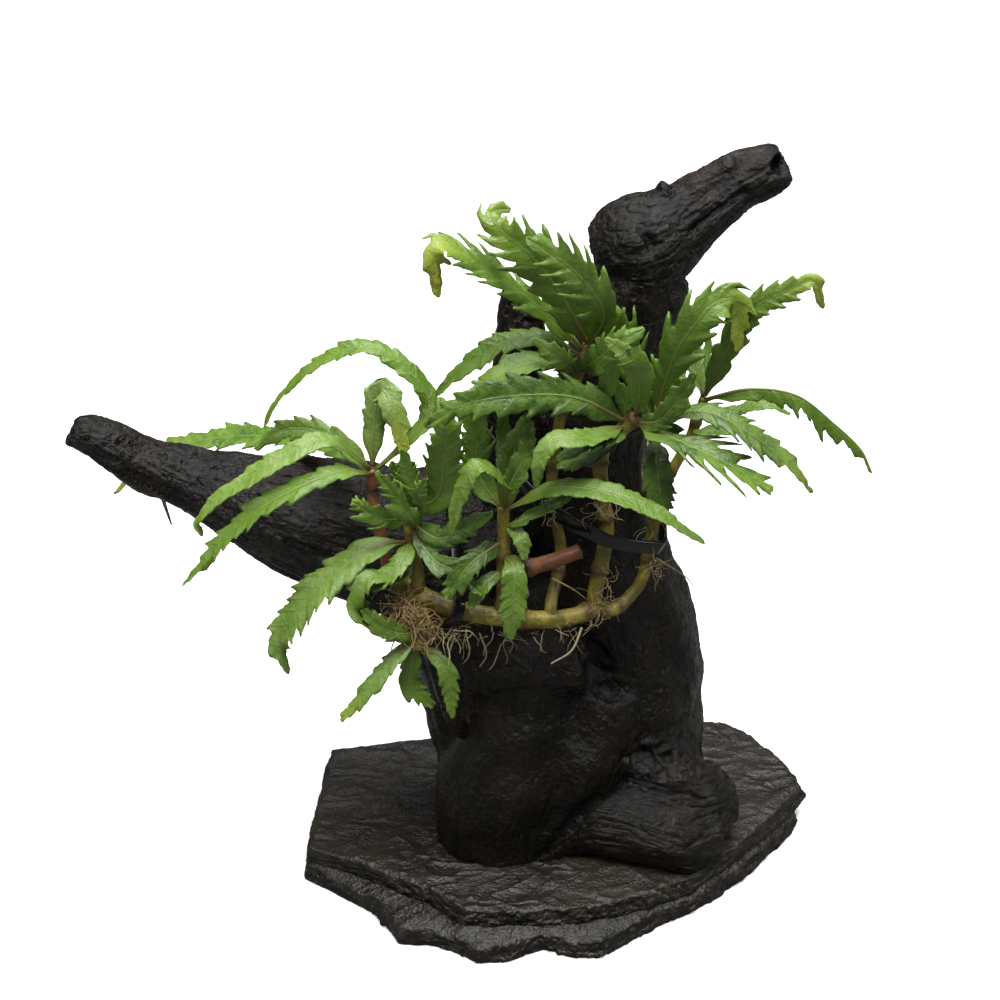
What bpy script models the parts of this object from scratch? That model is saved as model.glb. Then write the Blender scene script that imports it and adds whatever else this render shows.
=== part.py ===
"""Aquarium plant with lobed leaves, tied to a branched piece of driftwood that stands on a slate plate.

The resting face of the slate is at z = 0 and its middle is the origin. +X is to the right, +Y to the back.
Every table is in millimetres and is turned into metres where it is used.
"""

import math

import bmesh
import bpy
from mathutils import Matrix, Vector, noise

MM = 0.001
GAP = 0.3  # clear space between two pieces that touch
CURVE_STEPS = 12  # points on a smooth curve between two waypoints

# ---- slate: a lower plate, and an upper plate set back along the front edge ----
SLATE_STEP = 6.0  # height of the lower plate
SLATE_TOP = 12.0
SLATE_BITE = 0.6  # how far the two plates run into each other
EDGE_LEAN = 0.5  # how far a broken edge leans in from its foot to its top
LOWER_OUTLINE = [
    (-80, -15), (-68, -24), (-57, -33), (-49, -47), (-40, -48), (-33, -50), (-25, -56), (-16, -55),
    (-5, -50), (4, -53), (13, -53), (30, -39), (42, -32), (58, -17), (73, 3), (79, 12), (75, 34),
    (66, 51), (58, 56), (30, 55), (0, 53), (-39, 48), (-75, 40), (-79, 10),
]
UPPER_OUTLINE = [
    (-79, -14), (-62, -22), (-44, -33), (-29, -46), (-10, -46), (7, -45), (28, -38), (40, -31),
    (56, -15), (72, 5), (82, 19), (76, 34), (66, 51), (58, 57), (30, 55), (0, 53), (-39, 48),
    (-75, 40), (-78, 10),
]

# ---- driftwood: limbs as x, y, z, radius ----
LIMBS = {
    "trunk_left": [
        (-13, 16, 6, 25), (-13, 16, 30, 25), (-15, 17, 48, 27.5), (-18, 18, 68, 29), (-20, 18, 80, 30),
        (-22, 19, 94, 27.5),
    ],
    "trunk_right": [
        (20, 20, 6, 26), (20, 20, 30, 28), (18, 20, 50, 28.5), (17, 20, 68, 28), (13.5, 20, 84, 26),
        (11, 20, 103, 21.5), (9, 20, 122, 18.5), (10, 20, 138, 16.5), (15, 21, 158, 15), (20, 23, 176, 15),
        (20, 25, 190, 14),
    ],
    "left_arm": [
        (-20, 19, 96, 25.5), (-40, 20, 100, 23.5), (-64, 22, 105.5, 21), (-80, 24, 110.5, 18),
        (-95, 26, 114.5, 14.5), (-110, 28, 118.5, 10.5), (-123, 30, 123.5, 8), (-134, 30, 129.5, 6.5),
        (-142, 30, 133.5, 6), (-148, 30, 136.5, 5),
    ],
    "upper_arm": [
        (9, 25, 198, 7), (14, 25, 199, 11.5), (21, 25, 199, 15), (28, 26, 201, 14), (36, 28, 206, 11),
        (43, 30, 211, 9), (50, 32, 215, 7.5), (57, 33, 218.5, 6.8), (63, 34, 221, 6),
    ],
    "arm_knuckle": [(32, 28, 208, 7), (41, 29, 214, 7)],
    "arm_neck": [(22, 25, 178, 14), (26, 26, 190, 12)],
    "stub": [
        (-12, 20, 112, 15), (-13, 20, 135, 10), (-13, 20, 155, 7), (-13.5, 20, 168, 5.5), (-15, 20, 178, 3.6),
        (-15, 20, 188, 1.8),
    ],
    "stub_fork": [(-11, 20, 160, 5.5), (-9, 20, 172, 4.5), (-7, 20, 182, 2.8)],
    "front_lobe": [
        (-8, -2, 72, 15), (-10, -2, 60, 18), (-13, -3, 42, 20.5), (-18, -4, 24, 21), (-18, -4, 8, 20.5),
    ],
    "front_ledge": [(-26, -2, 72, 12), (-12, -5, 75, 12), (6, -3, 76, 12)],
    "front_slope": [(14, 2, 64, 15), (9, -2, 46, 18), (1, -4, 26, 17), (-6, -6, 8, 16)],
    "shoulder": [(22, 10, 66, 18), (25, 8, 52, 18), (26, 8, 40, 15)],
    "right_root": [
        (2, -6, 16, 12), (14, -8, 22, 14), (24, -11, 22, 14), (34, -14, 20, 14), (42, -16, 18, 12.5),
        (48, -14, 18, 9.5),
    ],
    "root_ridge": [(22, -4, 46, 10), (34, -6, 35, 12), (45, -8, 25, 12), (49, -9, 17, 10)],
}
LIMB_RING = 3  # bevel resolution of a limb
WOOD_VOXEL = 2.6
WOOD_SMOOTHING = 4
WOOD_SWELL = 0.6  # what the smoothing takes off
WOOD_LUMP = 1.6  # height of the weathered lumps
WOOD_LUMP_SIZE = 14.0
WOOD_KEEP = 0.127  # share of the faces left after the skin is thinned out
# Each fork is cut off by a box: its middle, its size, and its turn about Y in degrees.
FORKS = {
    "driftwood_left_arm": ((-103, 25, 110), (114, 90, 100), 0),
    "driftwood_upper_arm": ((44, 35, 221), (92, 90, 80), 0),
    "driftwood_stub": ((-27, 25, 171), (47, 70, 50), 0),
    "driftwood_right_root": ((37, -32, -4), (80, 60, 80), -41.5),
}
TRUNK = "driftwood_trunk"
GROUND = 200.0  # depth of the cutter that levels the wood's foot

# ---- bands: a point on the loop's plane, the plane's normal, the band's width, the box it stays in ----
BAND_THICKNESS = 1.0
BAND_CLEAR = 0.5
BAND_SIDES = 32
BANDS = {
    "band_upper": (
        (2, -8, 129), (0.38, -0.10, 0.92), 4.5, ((-60, -20, 90), (60, 60, 165)),
        ("stem_top", "stem_crown_front", "stem_crown_back"),
    ),
    "band_lower": (
        (-30, -24, 105), (0.90, 0.25, -0.36), 3.6, ((-80, -30, 72), (-20, 60, 132)),
        ("rhizome", "stem_left_front"),
    ),
}

# ---- stems: radius, then waypoints ----
STEM_STEP = 6.0
STEM_RING = 1
JOINT_SWELL = 1.25
JOINT_EVERY = 4  # stations from one leaf joint to the next
STEMS = {
    "rhizome": (3.2, [
        (-49, -12, 108), (-39, -16, 104), (-27, -20, 102), (-12, -22, 101), (1, -20, 100), (10, -16, 101),
    ]),
    "stem_top": (2.0, [
        (-3, -19, 105), (0, -9, 116), (-3, -7, 134), (-1, -5, 156), (4, -3, 170), (7, -2, 180),
    ]),
    "stem_crown_front": (2.6, [
        (10, -15, 106), (13, -11, 123), (12, -10, 134), (11, -8, 147), (16, -8, 155), (21, -8, 160),
    ]),
    "stem_crown_back": (2.1, [
        (15, -14, 99), (21, -10, 102), (25, -8, 110), (28, -4, 134), (27, -3, 148), (26, -3, 156),
    ]),
    "stem_right": (1.8, [(31, -1, 137), (37, 2, 147), (41, 2, 161)]),
    "stem_middle": (2.3, [(-17, -20, 106), (-17, -20, 116), (-17, -19, 124), (-17, -18, 136)]),
    "stem_left_front": (2.4, [(-42, -16, 110), (-43, -14, 117), (-44, -13, 125), (-45, -12, 132)]),
    "stem_left_back": (1.8, [(-51, -11, 112), (-53, -9, 122), (-55, -8, 132), (-55, -8, 143)]),
    "stem_low": (1.9, [(-41, -19, 99), (-42, -20, 95), (-42, -21, 90)]),
    "old_stem": (2.4, [(-13.9, -20.5, 116), (-9, -21, 118), (-2, -22, 121), (5, -22, 124)]),
}
RED_STEMS = {"stem_left_back", "old_stem"}

# ---- leaves: stem, place along it, width, depth of the lobes (0 to 1), lift of the two halves in
# degrees, facing, and the waypoints that follow the leaf's foot on its stem ----
LEAF_THICKNESS = 0.5
LEAF_STATIONS = 10
LEAF_FOOT = 0.45  # from the stem's skin to the leaf's foot
FINE_STATIONS = 200
PETIOLE_HALF = 0.6
PETIOLE_END = 0.18  # share of the leaf that is petiole
LOBED = (0.15, 0.95)  # where the margin has lobes
LOBE_CUT = 0.5  # how far the deepest lobes cut towards the midrib
UP = (0.0, -0.35, 1.0)
OUT = (0.0, -1.0, 0.5)
LEAVES = {
    "leaf_top_1": ("stem_top", 1.0, 15, 0.5, 8, OUT, [
        (-1, -8, 198), (-10, -12, 212), (-18, -12, 219), (-20, -9, 223), (-15, -6, 223),
    ]),
    "leaf_top_2": ("stem_top", 0.98, 15, 0.6, 8, OUT, [
        (11, -8, 190), (9, -13, 199), (2, -16, 209), (-5, -17, 215), (-11, -17, 219),
    ]),
    "leaf_top_3": ("stem_top", 0.97, 14, 0.5, 8, UP, [
        (-5, -5, 191), (-18, -8, 203), (-31, -11, 213), (-36, -13, 213), (-35, -14, 200),
    ]),
    "leaf_top_4": ("stem_top", 0.95, 10, 0.3, 8, UP, [
        (-6, -4, 183), (-17, -3, 181), (-28, -4, 174), (-36, -4, 165),
    ]),
    "leaf_top_5": ("stem_top", 0.92, 10, 0.3, 8, UP, [(-5, -10, 179), (-17, -13, 177), (-27, -15, 171)]),
    "leaf_crown_1": ("stem_crown_front", 0.95, 13, 0.4, 8, OUT, [
        (4, -16, 170), (-12, -20, 173), (-28, -22, 171), (-39, -22, 164),
    ]),
    "leaf_crown_2": ("stem_crown_front", 1.0, 9, 0.2, 8, OUT, [
        (21, -15, 178), (16, -17, 185), (11, -17, 189),
    ]),
    "leaf_crown_3": ("stem_crown_back", 1.0, 14, 0.5, 8, OUT, [
        (31, -8, 179), (37, -10, 191), (42, -9, 196), (48, -7, 195), (49, -7, 180),
    ]),
    "leaf_crown_4": ("stem_crown_back", 0.98, 12, 0.6, 8, OUT, [(20, -3, 173), (16, -5, 188), (11, -5, 194)]),
    "leaf_crown_5": ("stem_crown_front", 1.0, 10, 0.4, 8, UP, [
        (39, -14, 165), (51, -18, 161), (63, -20, 152), (71, -20, 142),
    ]),
    "leaf_crown_6": ("stem_crown_front", 0.97, 15, 0.8, 8, UP, [
        (34, -18, 157), (47, -24, 153), (59, -26, 146),
    ]),
    "leaf_crown_7": ("stem_crown_front", 0.93, 8, 0.1, 8, UP, [
        (7, -24, 162), (-3, -28, 163), (-7, -30, 157), (-8, -30, 149),
    ]),
    "leaf_crown_8": ("stem_crown_front", 0.88, 9, 0.3, 8, UP, [(9, -16, 153), (-2, -18, 149)]),
    "leaf_crown_9": ("stem_crown_back", 0.93, 10, 0.2, 8, OUT, [
        (27, -11, 148), (28, -13, 139), (30, -13, 130),
    ]),
    "leaf_right_1": ("stem_right", 1.0, 9, 0.4, 8, OUT, [
        (46, -4, 179), (53, -6, 193), (63, -8, 200), (69, -8, 202), (72, -8, 194),
    ]),
    "leaf_right_2": ("stem_right", 0.98, 10, 0.5, -50, UP, [
        (53, -6, 168), (66, -10, 168), (77, -12, 160), (85, -12, 152), (89, -12, 144),
    ]),
    "leaf_right_3": ("stem_right", 1.0, 6, 0.2, 8, OUT, [(38, 6, 172), (35, 5, 180), (34, 4, 187)]),
    "leaf_right_4": ("stem_right", 0.93, 4, 0.6, 8, OUT, [(42, 9, 174), (40, 10, 183)]),
    "leaf_left_1": ("stem_left_back", 1.0, 8, 0.1, 8, UP, [
        (-67, -16, 157), (-81, -22, 153), (-96, -24, 144), (-104, -24, 135), (-103, -24, 130),
    ]),
    "leaf_left_2": ("stem_left_back", 0.95, 9, 0.4, 8, UP, [
        (-63, -20, 149), (-77, -26, 146), (-92, -28, 136), (-109, -30, 117),
    ]),
    "leaf_left_3": ("stem_left_back", 0.97, 7, 0.2, 8, UP, [
        (-46, -7, 150), (-39, -4, 158), (-39, -1, 164), (-45, 1, 171), (-55, 3, 177), (-68, 4, 173),
        (-81, 6, 161), (-87, 6, 150),
    ]),
    "leaf_left_4": ("stem_left_back", 0.97, 8, 0.4, 8, OUT, [
        (-64, -1, 148), (-74, 4, 150), (-83, 6, 148), (-90, 6, 142),
    ]),
    "leaf_left_5": ("stem_left_back", 0.92, 11, 0.3, 8, UP, [
        (-62, 8, 139), (-76, 28, 134), (-92, 42, 128), (-108, 48, 124), (-126, 50, 118), (-141, 50, 103),
    ]),
    "leaf_left_6": ("stem_left_back", 1.0, 9, 0.3, 8, OUT, [
        (-54, -5, 158), (-52, -4, 167), (-48, -9, 162), (-45, -12, 148),
    ]),
    "leaf_left_7": ("stem_left_front", 0.88, 8, 0.6, 8, OUT, [(-52, -19, 133), (-60, -23, 141)]),
    "leaf_left_8": ("stem_left_front", 1.0, 5, 0.4, 8, OUT, [(-46, -13, 140), (-49, -14, 149)]),
    "leaf_left_9": ("stem_left_front", 0.98, 5, 0.4, 8, OUT, [(-42, -18, 140), (-39, -21, 147)]),
    "leaf_left_10": ("stem_left_front", 0.55, 13, 0.25, 8, UP, [
        (-52, -17, 123), (-61, -21, 120), (-74, -26, 110), (-82, -28, 97), (-80, -28, 86),
    ]),
    "leaf_left_11": ("stem_left_front", 0.6, 8, 0.3, 8, UP, [(-47, -22, 120), (-55, -26, 113)]),
    "leaf_left_12": ("stem_low", 0.2, 7, 0.4, 8, UP, [(-50, -23, 100), (-58, -25, 105), (-59, -25, 114)]),
    "leaf_left_13": ("stem_low", 0.6, 7, 0.3, 8, UP, [(-49, -25, 89), (-56, -29, 82), (-65, -31, 71)]),
    "leaf_left_14": ("stem_low", 0.9, 8, 0.4, 8, OUT, [(-45, -21, 79), (-38, -22, 70)]),
    "leaf_left_15": ("stem_low", 0.8, 6, 0.2, 8, OUT, [(-34, -26, 86), (-32, -28, 70)]),
    "leaf_middle_1": ("stem_left_front", 0.95, 12, 0.3, 8, OUT, [
        (-36, -15, 138), (-34, -17, 150), (-33, -17, 162), (-35, -13, 169),
    ]),
    "leaf_middle_2": ("stem_middle", 1.0, 7, 0.15, 8, UP, [
        (-17, -24, 148), (-24, -28, 155), (-29, -29, 147), (-32, -29, 133),
    ]),
    "leaf_middle_3": ("stem_middle", 1.0, 8, 0.2, 8, OUT, [(-14, -15, 152), (-10, -13, 164)]),
    "leaf_middle_4": ("stem_middle", 0.65, 9, 0.5, 8, OUT, [(-26, -27, 123), (-34, -30, 113)]),
    "leaf_middle_5": ("stem_middle", 0.85, 5, 0.1, 8, OUT, [(-12, -25, 130), (-11, -27, 124)]),
    "leaf_middle_6": ("stem_middle", 0.97, 8, 0.1, 8, UP, [
        (-1, -24, 146), (16, -28, 145), (28, -30, 140), (40, -30, 131),
    ]),
    "leaf_middle_7": ("stem_middle", 0.5, 9, 0.2, 8, OUT, [
        (-14, -27, 121), (-14, -30, 114), (-15, -32, 100),
    ]),
    "leaf_middle_8": ("stem_middle", 0.96, 10, 0.4, 8, OUT, [
        (-24, -13, 144), (-25, -11, 157), (-28, -9, 167),
    ]),
}

# ---- materials: base colour, roughness ----
SURFACES = {
    "slate": ((0.030, 0.026, 0.023), 0.45),
    "driftwood": ((0.012, 0.010, 0.009), 0.5),
    "band": ((0.006, 0.006, 0.007), 0.15),
    "stem": ((0.26, 0.24, 0.05), 0.4),
    "old_stem": ((0.25, 0.09, 0.04), 0.35),
    "leaf": ((0.07, 0.19, 0.03), 0.4),
}


def surface(name):
    """The Principled material of this name."""
    made = bpy.data.materials.get(name)
    if made:
        return made
    colour, roughness = SURFACES[name]
    made = bpy.data.materials.new(name)
    made.use_nodes = True
    shader = made.node_tree.nodes["Principled BSDF"]
    shader.inputs["Base Color"].default_value = (*colour, 1.0)
    shader.inputs["Roughness"].default_value = roughness
    shader.inputs["Metallic"].default_value = 0.0
    made.diffuse_color = (*colour, 1.0)
    return made


def place(name, mesh, collection, material=None):
    """A new object of this mesh in the collection."""
    mesh.name = name
    obj = bpy.data.objects.new(name, mesh)
    collection.objects.link(obj)
    if material:
        mesh.materials.clear()
        mesh.materials.append(surface(material))
    return obj


def evaluated_mesh(obj):
    """The object's shape after its modifiers, as a mesh of its own."""
    graph = bpy.context.evaluated_depsgraph_get()
    return bpy.data.meshes.new_from_object(obj.evaluated_get(graph))


def vectors(rows):
    return [Vector(row[:3]) * MM for row in rows]


def smooth_path(points, count):
    """count points, evenly spaced by length, on a smooth curve through the waypoints."""
    ends = [points[0] * 2 - points[1], *points, points[-1] * 2 - points[-2]]
    dense = []
    for a, b, c, d in zip(ends, ends[1:], ends[2:], ends[3:]):
        for step in range(CURVE_STEPS):
            t = step / CURVE_STEPS
            dense.append(
                b + (c - a) * t / 2 + (a * 2 - b * 5 + c * 4 - d) * t**2 / 2 + (b * 3 - a - c * 3 + d) * t**3 / 2
            )
    dense.append(points[-1].copy())
    lengths = [0.0]
    for a, b in zip(dense, dense[1:]):
        lengths.append(lengths[-1] + (b - a).length)
    path, at = [], 0
    for i in range(count):
        want = lengths[-1] * i / (count - 1)
        while at < len(dense) - 2 and lengths[at + 1] < want:
            at += 1
        span = lengths[at + 1] - lengths[at]
        path.append(dense[at].lerp(dense[at + 1], (want - lengths[at]) / span))
    return path


def tube(name, path, radii, ring):
    """A capped round bar along the path, as a curve object."""
    data = bpy.data.curves.new(name, "CURVE")
    data.dimensions = "3D"
    data.bevel_depth = MM
    data.bevel_resolution = ring
    data.use_fill_caps = True
    spline = data.splines.new("POLY")
    spline.points.add(len(path) - 1)
    for point, at, radius in zip(spline.points, path, radii):
        point.co = (*at, 1.0)
        point.radius = radius
    return data


def box(name, middle, size, turn, collection):
    """A box cutter, in millimetres, turned about Y."""
    mesh = bpy.data.meshes.new(name)
    shape = bmesh.new()
    bmesh.ops.create_cube(shape, size=1.0)
    place_at = Matrix.Translation(Vector(middle) * MM) @ Matrix.Rotation(math.radians(turn), 4, "Y")
    shape.transform(place_at @ Matrix.Diagonal((*(Vector(size) * MM), 1.0)))
    shape.to_mesh(mesh)
    shape.free()
    return place(name, mesh, collection)


def combine(obj, other, operation):
    """The object after an exact Boolean with the other, as a new mesh."""
    cut = obj.modifiers.new("combine", "BOOLEAN")
    cut.operation = operation
    cut.solver = "EXACT"
    cut.object = other
    mesh = evaluated_mesh(obj)
    obj.modifiers.remove(cut)
    return mesh


def plate(name, outline, low, high, collection):
    """A slab with a leaning broken edge."""
    shape = bmesh.new()
    middle = Vector((0.0, 0.0))
    lower, upper = [], []
    for x, y in outline:
        out = Vector((x, y)) - middle
        top = out - out.normalized() * EDGE_LEAN
        lower.append(shape.verts.new((x * MM, y * MM, low * MM)))
        upper.append(shape.verts.new((top.x * MM, top.y * MM, high * MM)))
    shape.faces.new(reversed(lower))
    shape.faces.new(upper)
    for i, vert in enumerate(lower):
        after = (i + 1) % len(lower)
        shape.faces.new((vert, lower[after], upper[after], upper[i]))
    bmesh.ops.recalc_face_normals(shape, faces=shape.faces)
    mesh = bpy.data.meshes.new(name)
    shape.to_mesh(mesh)
    shape.free()
    return place(name, mesh, collection)


def build_slate(parts, guides):
    lower = plate("lower_plate", LOWER_OUTLINE, 0.0, SLATE_STEP, guides)
    upper = plate("upper_plate", UPPER_OUTLINE, SLATE_STEP - SLATE_BITE, SLATE_TOP, guides)
    place("slate_base", combine(lower, upper, "UNION"), parts, "slate")


def build_wood(parts, guides):
    """One skin over all limbs, weathered and thinned out, then split at its forks."""
    shape = bmesh.new()
    for name, rows in LIMBS.items():
        limb = bpy.data.objects.new(name, tube(name, vectors(rows), [row[3] for row in rows], LIMB_RING))
        guides.objects.link(limb)
        mesh = evaluated_mesh(limb)
        shape.from_mesh(mesh)
        bpy.data.meshes.remove(mesh)
    bmesh.ops.remove_doubles(shape, verts=shape.verts, dist=1e-6)
    mesh = bpy.data.meshes.new("wood")
    shape.to_mesh(mesh)
    shape.free()
    wood = place("wood", mesh, guides)
    skin = wood.modifiers.new("skin", "REMESH")
    skin.mode = "VOXEL"
    skin.voxel_size = WOOD_VOXEL * MM
    even = wood.modifiers.new("even", "SMOOTH")
    even.iterations = WOOD_SMOOTHING
    wood.data = evaluated_mesh(wood)
    wood.modifiers.clear()
    moves = []
    for vert in wood.data.vertices:
        lump = noise.noise(vert.co / (WOOD_LUMP_SIZE * MM))
        moves.append(vert.normal * (WOOD_SWELL + lump * WOOD_LUMP) * MM)
    for vert, move in zip(wood.data.vertices, moves):
        vert.co += move
    thin = wood.modifiers.new("thin", "DECIMATE")
    thin.ratio = WOOD_KEEP
    wood.data = evaluated_mesh(wood)
    wood.modifiers.clear()

    ground = box("ground", (0, 0, SLATE_TOP + GAP - GROUND / 2), (2 * GROUND, 2 * GROUND, GROUND), 0, guides)
    wood.data = combine(wood, ground, "DIFFERENCE")
    skin = wood.data
    for name, (middle, size, turn) in FORKS.items():
        region = box(name + "_region", middle, size, turn, guides)
        place(name, combine(wood, region, "INTERSECT"), parts, "driftwood")
    for name, (middle, size, turn) in FORKS.items():
        wider = box(name + "_gap", middle, [side + 2 * GAP for side in size], turn, guides)
        wood.data = combine(wood, wider, "DIFFERENCE")
    place(TRUNK, wood.data, parts, "driftwood")
    wood.data = skin
    return wood


def build_stems(parts):
    stems = {}
    for name, (radius, rows) in STEMS.items():
        points = vectors(rows)
        length = sum((b - a).length for a, b in zip(points, points[1:]))
        path = smooth_path(points, max(3, round(length / (STEM_STEP * MM))))
        radii = [radius * (1.0 if (i + 1) % JOINT_EVERY else JOINT_SWELL) for i in range(len(path))]
        stem = bpy.data.objects.new(name, tube(name, path, radii, STEM_RING))
        parts.objects.link(stem)
        stem.data.materials.append(surface("old_stem" if name in RED_STEMS else "stem"))
        stems[name] = stem
    return stems


def band_section(bodies, origin, turn, width, low, high):
    """Where the band's two edges and its middle line meet the bodies, flat in the band's own plane."""
    found = []
    for body in bodies:
        mesh = evaluated_mesh(body)
        for side in (-0.5, 0.0, 0.5):
            shape = bmesh.new()
            shape.from_mesh(mesh)
            everything = shape.verts[:] + shape.edges[:] + shape.faces[:]
            level = origin + turn.col[2] * (side * width * MM)
            cut = bmesh.ops.bisect_plane(shape, geom=everything, plane_co=level, plane_no=turn.col[2])
            for item in cut["geom_cut"]:
                if isinstance(item, bmesh.types.BMVert) and all(
                    low[i] * MM < item.co[i] < high[i] * MM for i in range(3)
                ):
                    found.append((turn.transposed() @ (item.co - origin)).to_2d())
            shape.free()
        bpy.data.meshes.remove(mesh)
    return found


def tight_loop(section, clear):
    """The corners of a many-sided loop that runs round the section without touching it."""
    angles = [2 * math.pi * i / BAND_SIDES for i in range(BAND_SIDES)]
    normals = [Vector((math.cos(angle), math.sin(angle))) for angle in angles]
    reach = [max(point.dot(normal) for point in section) + clear * MM for normal in normals]
    corners = []
    for i, (a, p) in enumerate(zip(normals, reach)):
        b, q = normals[i - 1], reach[i - 1]
        area = a.x * b.y - a.y * b.x
        corners.append(Vector(((p * b.y - q * a.y) / area, (q * a.x - p * b.x) / area)))
    return corners


def build_bands(parts, wood, stems):
    for name, (origin, normal, width, (low, high), held) in BANDS.items():
        normal = Vector(normal).normalized()
        across = normal.cross(Vector((0.0, 1.0, 0.0))).normalized()
        turn = Matrix((across, normal.cross(across), normal)).transposed()
        origin = Vector(origin) * MM
        section = band_section([wood, *(stems[stem] for stem in held)], origin, turn, width, low, high)
        inner = tight_loop(section, BAND_CLEAR)
        outer = tight_loop(section, BAND_CLEAR + BAND_THICKNESS)
        shape = bmesh.new()
        rings = [
            [
                shape.verts.new(origin + turn @ Vector((flat.x, flat.y, side * width * MM)))
                for flat, side in ((near, -0.5), (far, -0.5), (far, 0.5), (near, 0.5))
            ]
            for near, far in zip(inner, outer)
        ]
        for ring, after in zip(rings, rings[1:] + rings[:1]):
            for k in range(4):
                shape.faces.new((ring[k], after[k], after[(k + 1) % 4], ring[(k + 1) % 4]))
        bmesh.ops.recalc_face_normals(shape, faces=shape.faces)
        mesh = bpy.data.meshes.new(name)
        shape.to_mesh(mesh)
        shape.free()
        place(name, mesh, parts, "band")


def leaf_half(t, width, lobe, turn):
    """Half the blade's width at t, from the petiole (0) to the tip (1)."""
    body = math.sin(math.pi * min(1.0, t**0.85 * 0.97 + 0.03)) ** 0.75
    half = PETIOLE_HALF + (width / 2 - PETIOLE_HALF) * body * min(1.0, t / PETIOLE_END) ** 1.3
    return half * (1.0 - LOBE_CUT * lobe * (turn % 2)) if LOBED[0] < t < LOBED[1] else half


def leaf_path(stem, place_on_stem, rows, count):
    """The leaf's line from just outside its stem to its tip."""
    radius, stem_rows = STEMS[stem]
    foot = smooth_path(vectors(stem_rows), FINE_STATIONS + 1)[round(place_on_stem * FINE_STATIONS)]
    whole = smooth_path([foot, *vectors(rows)], FINE_STATIONS)
    start = next(i for i, at in enumerate(whole) if (at - foot).length > (radius + LEAF_FOOT) * MM)
    return smooth_path(whole[start:], count)


def build_leaves(parts):
    for name, (stem, place_on_stem, width, lobe, lift, facing, rows) in LEAVES.items():
        path = leaf_path(stem, place_on_stem, rows, LEAF_STATIONS)
        facing = Vector(facing)
        lift = math.radians(lift)
        shape = bmesh.new()
        rings = []
        for i, at in enumerate(path):
            along = (path[min(i + 1, len(path) - 1)] - path[max(i - 1, 0)]).normalized()
            side = along.cross(facing).normalized()
            over = side.cross(along)
            half = leaf_half(i / (len(path) - 1), width, lobe, i) * MM
            lifted = over * math.sin(lift) * half
            reach = side * math.cos(lift) * half
            rings.append([shape.verts.new(p) for p in (at - reach + lifted, at, at + reach + lifted)])
        for ring, after in zip(rings, rings[1:]):
            for k in range(2):
                shape.faces.new((ring[k], ring[k + 1], after[k + 1], after[k]))
        mesh = bpy.data.meshes.new(name)
        shape.to_mesh(mesh)
        shape.free()
        leaf = place(name, mesh, parts, "leaf")
        skin = leaf.modifiers.new("thickness", "SOLIDIFY")
        skin.thickness = LEAF_THICKNESS * MM
        skin.offset = 0.0


def main():
    for obj in list(bpy.data.objects):
        bpy.data.objects.remove(obj, do_unlink=True)
    parts = bpy.data.collections.new("aquarium_plant_on_driftwood")
    guides = bpy.data.collections.new("guides")
    for collection in (parts, guides):
        bpy.context.scene.collection.children.link(collection)
    build_slate(parts, guides)
    wood = build_wood(parts, guides)
    stems = build_stems(parts)
    build_bands(parts, wood, stems)
    build_leaves(parts)
    guides.hide_render = True
    for helper in guides.objects:
        helper.hide_render = True
        helper.display_type = "WIRE"


main()
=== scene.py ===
"""Aquarium plant with lobed leaves on branched driftwood and a slate plate: its visible shapes and finishes.

The resting face of the slate is at z = 0 and its middle is the origin. +X is to the right, +Y to the back.
Tables are in millimetres and are turned into metres where they are used.
"""

import itertools
import math

import bmesh
import bpy
import numpy as np
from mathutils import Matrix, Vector, noise as solid_noise


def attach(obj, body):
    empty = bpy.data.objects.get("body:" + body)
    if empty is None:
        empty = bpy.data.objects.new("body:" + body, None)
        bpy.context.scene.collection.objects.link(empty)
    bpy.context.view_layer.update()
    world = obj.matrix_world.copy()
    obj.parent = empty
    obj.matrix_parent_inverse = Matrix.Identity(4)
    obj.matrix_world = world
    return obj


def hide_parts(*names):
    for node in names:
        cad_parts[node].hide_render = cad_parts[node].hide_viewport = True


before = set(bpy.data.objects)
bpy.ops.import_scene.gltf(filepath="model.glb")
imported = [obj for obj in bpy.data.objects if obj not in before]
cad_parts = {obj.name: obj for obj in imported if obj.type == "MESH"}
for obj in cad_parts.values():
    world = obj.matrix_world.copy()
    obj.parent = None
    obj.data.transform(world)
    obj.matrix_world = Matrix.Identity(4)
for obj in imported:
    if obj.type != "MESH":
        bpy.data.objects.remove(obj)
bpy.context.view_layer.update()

MM = 0.001

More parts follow.
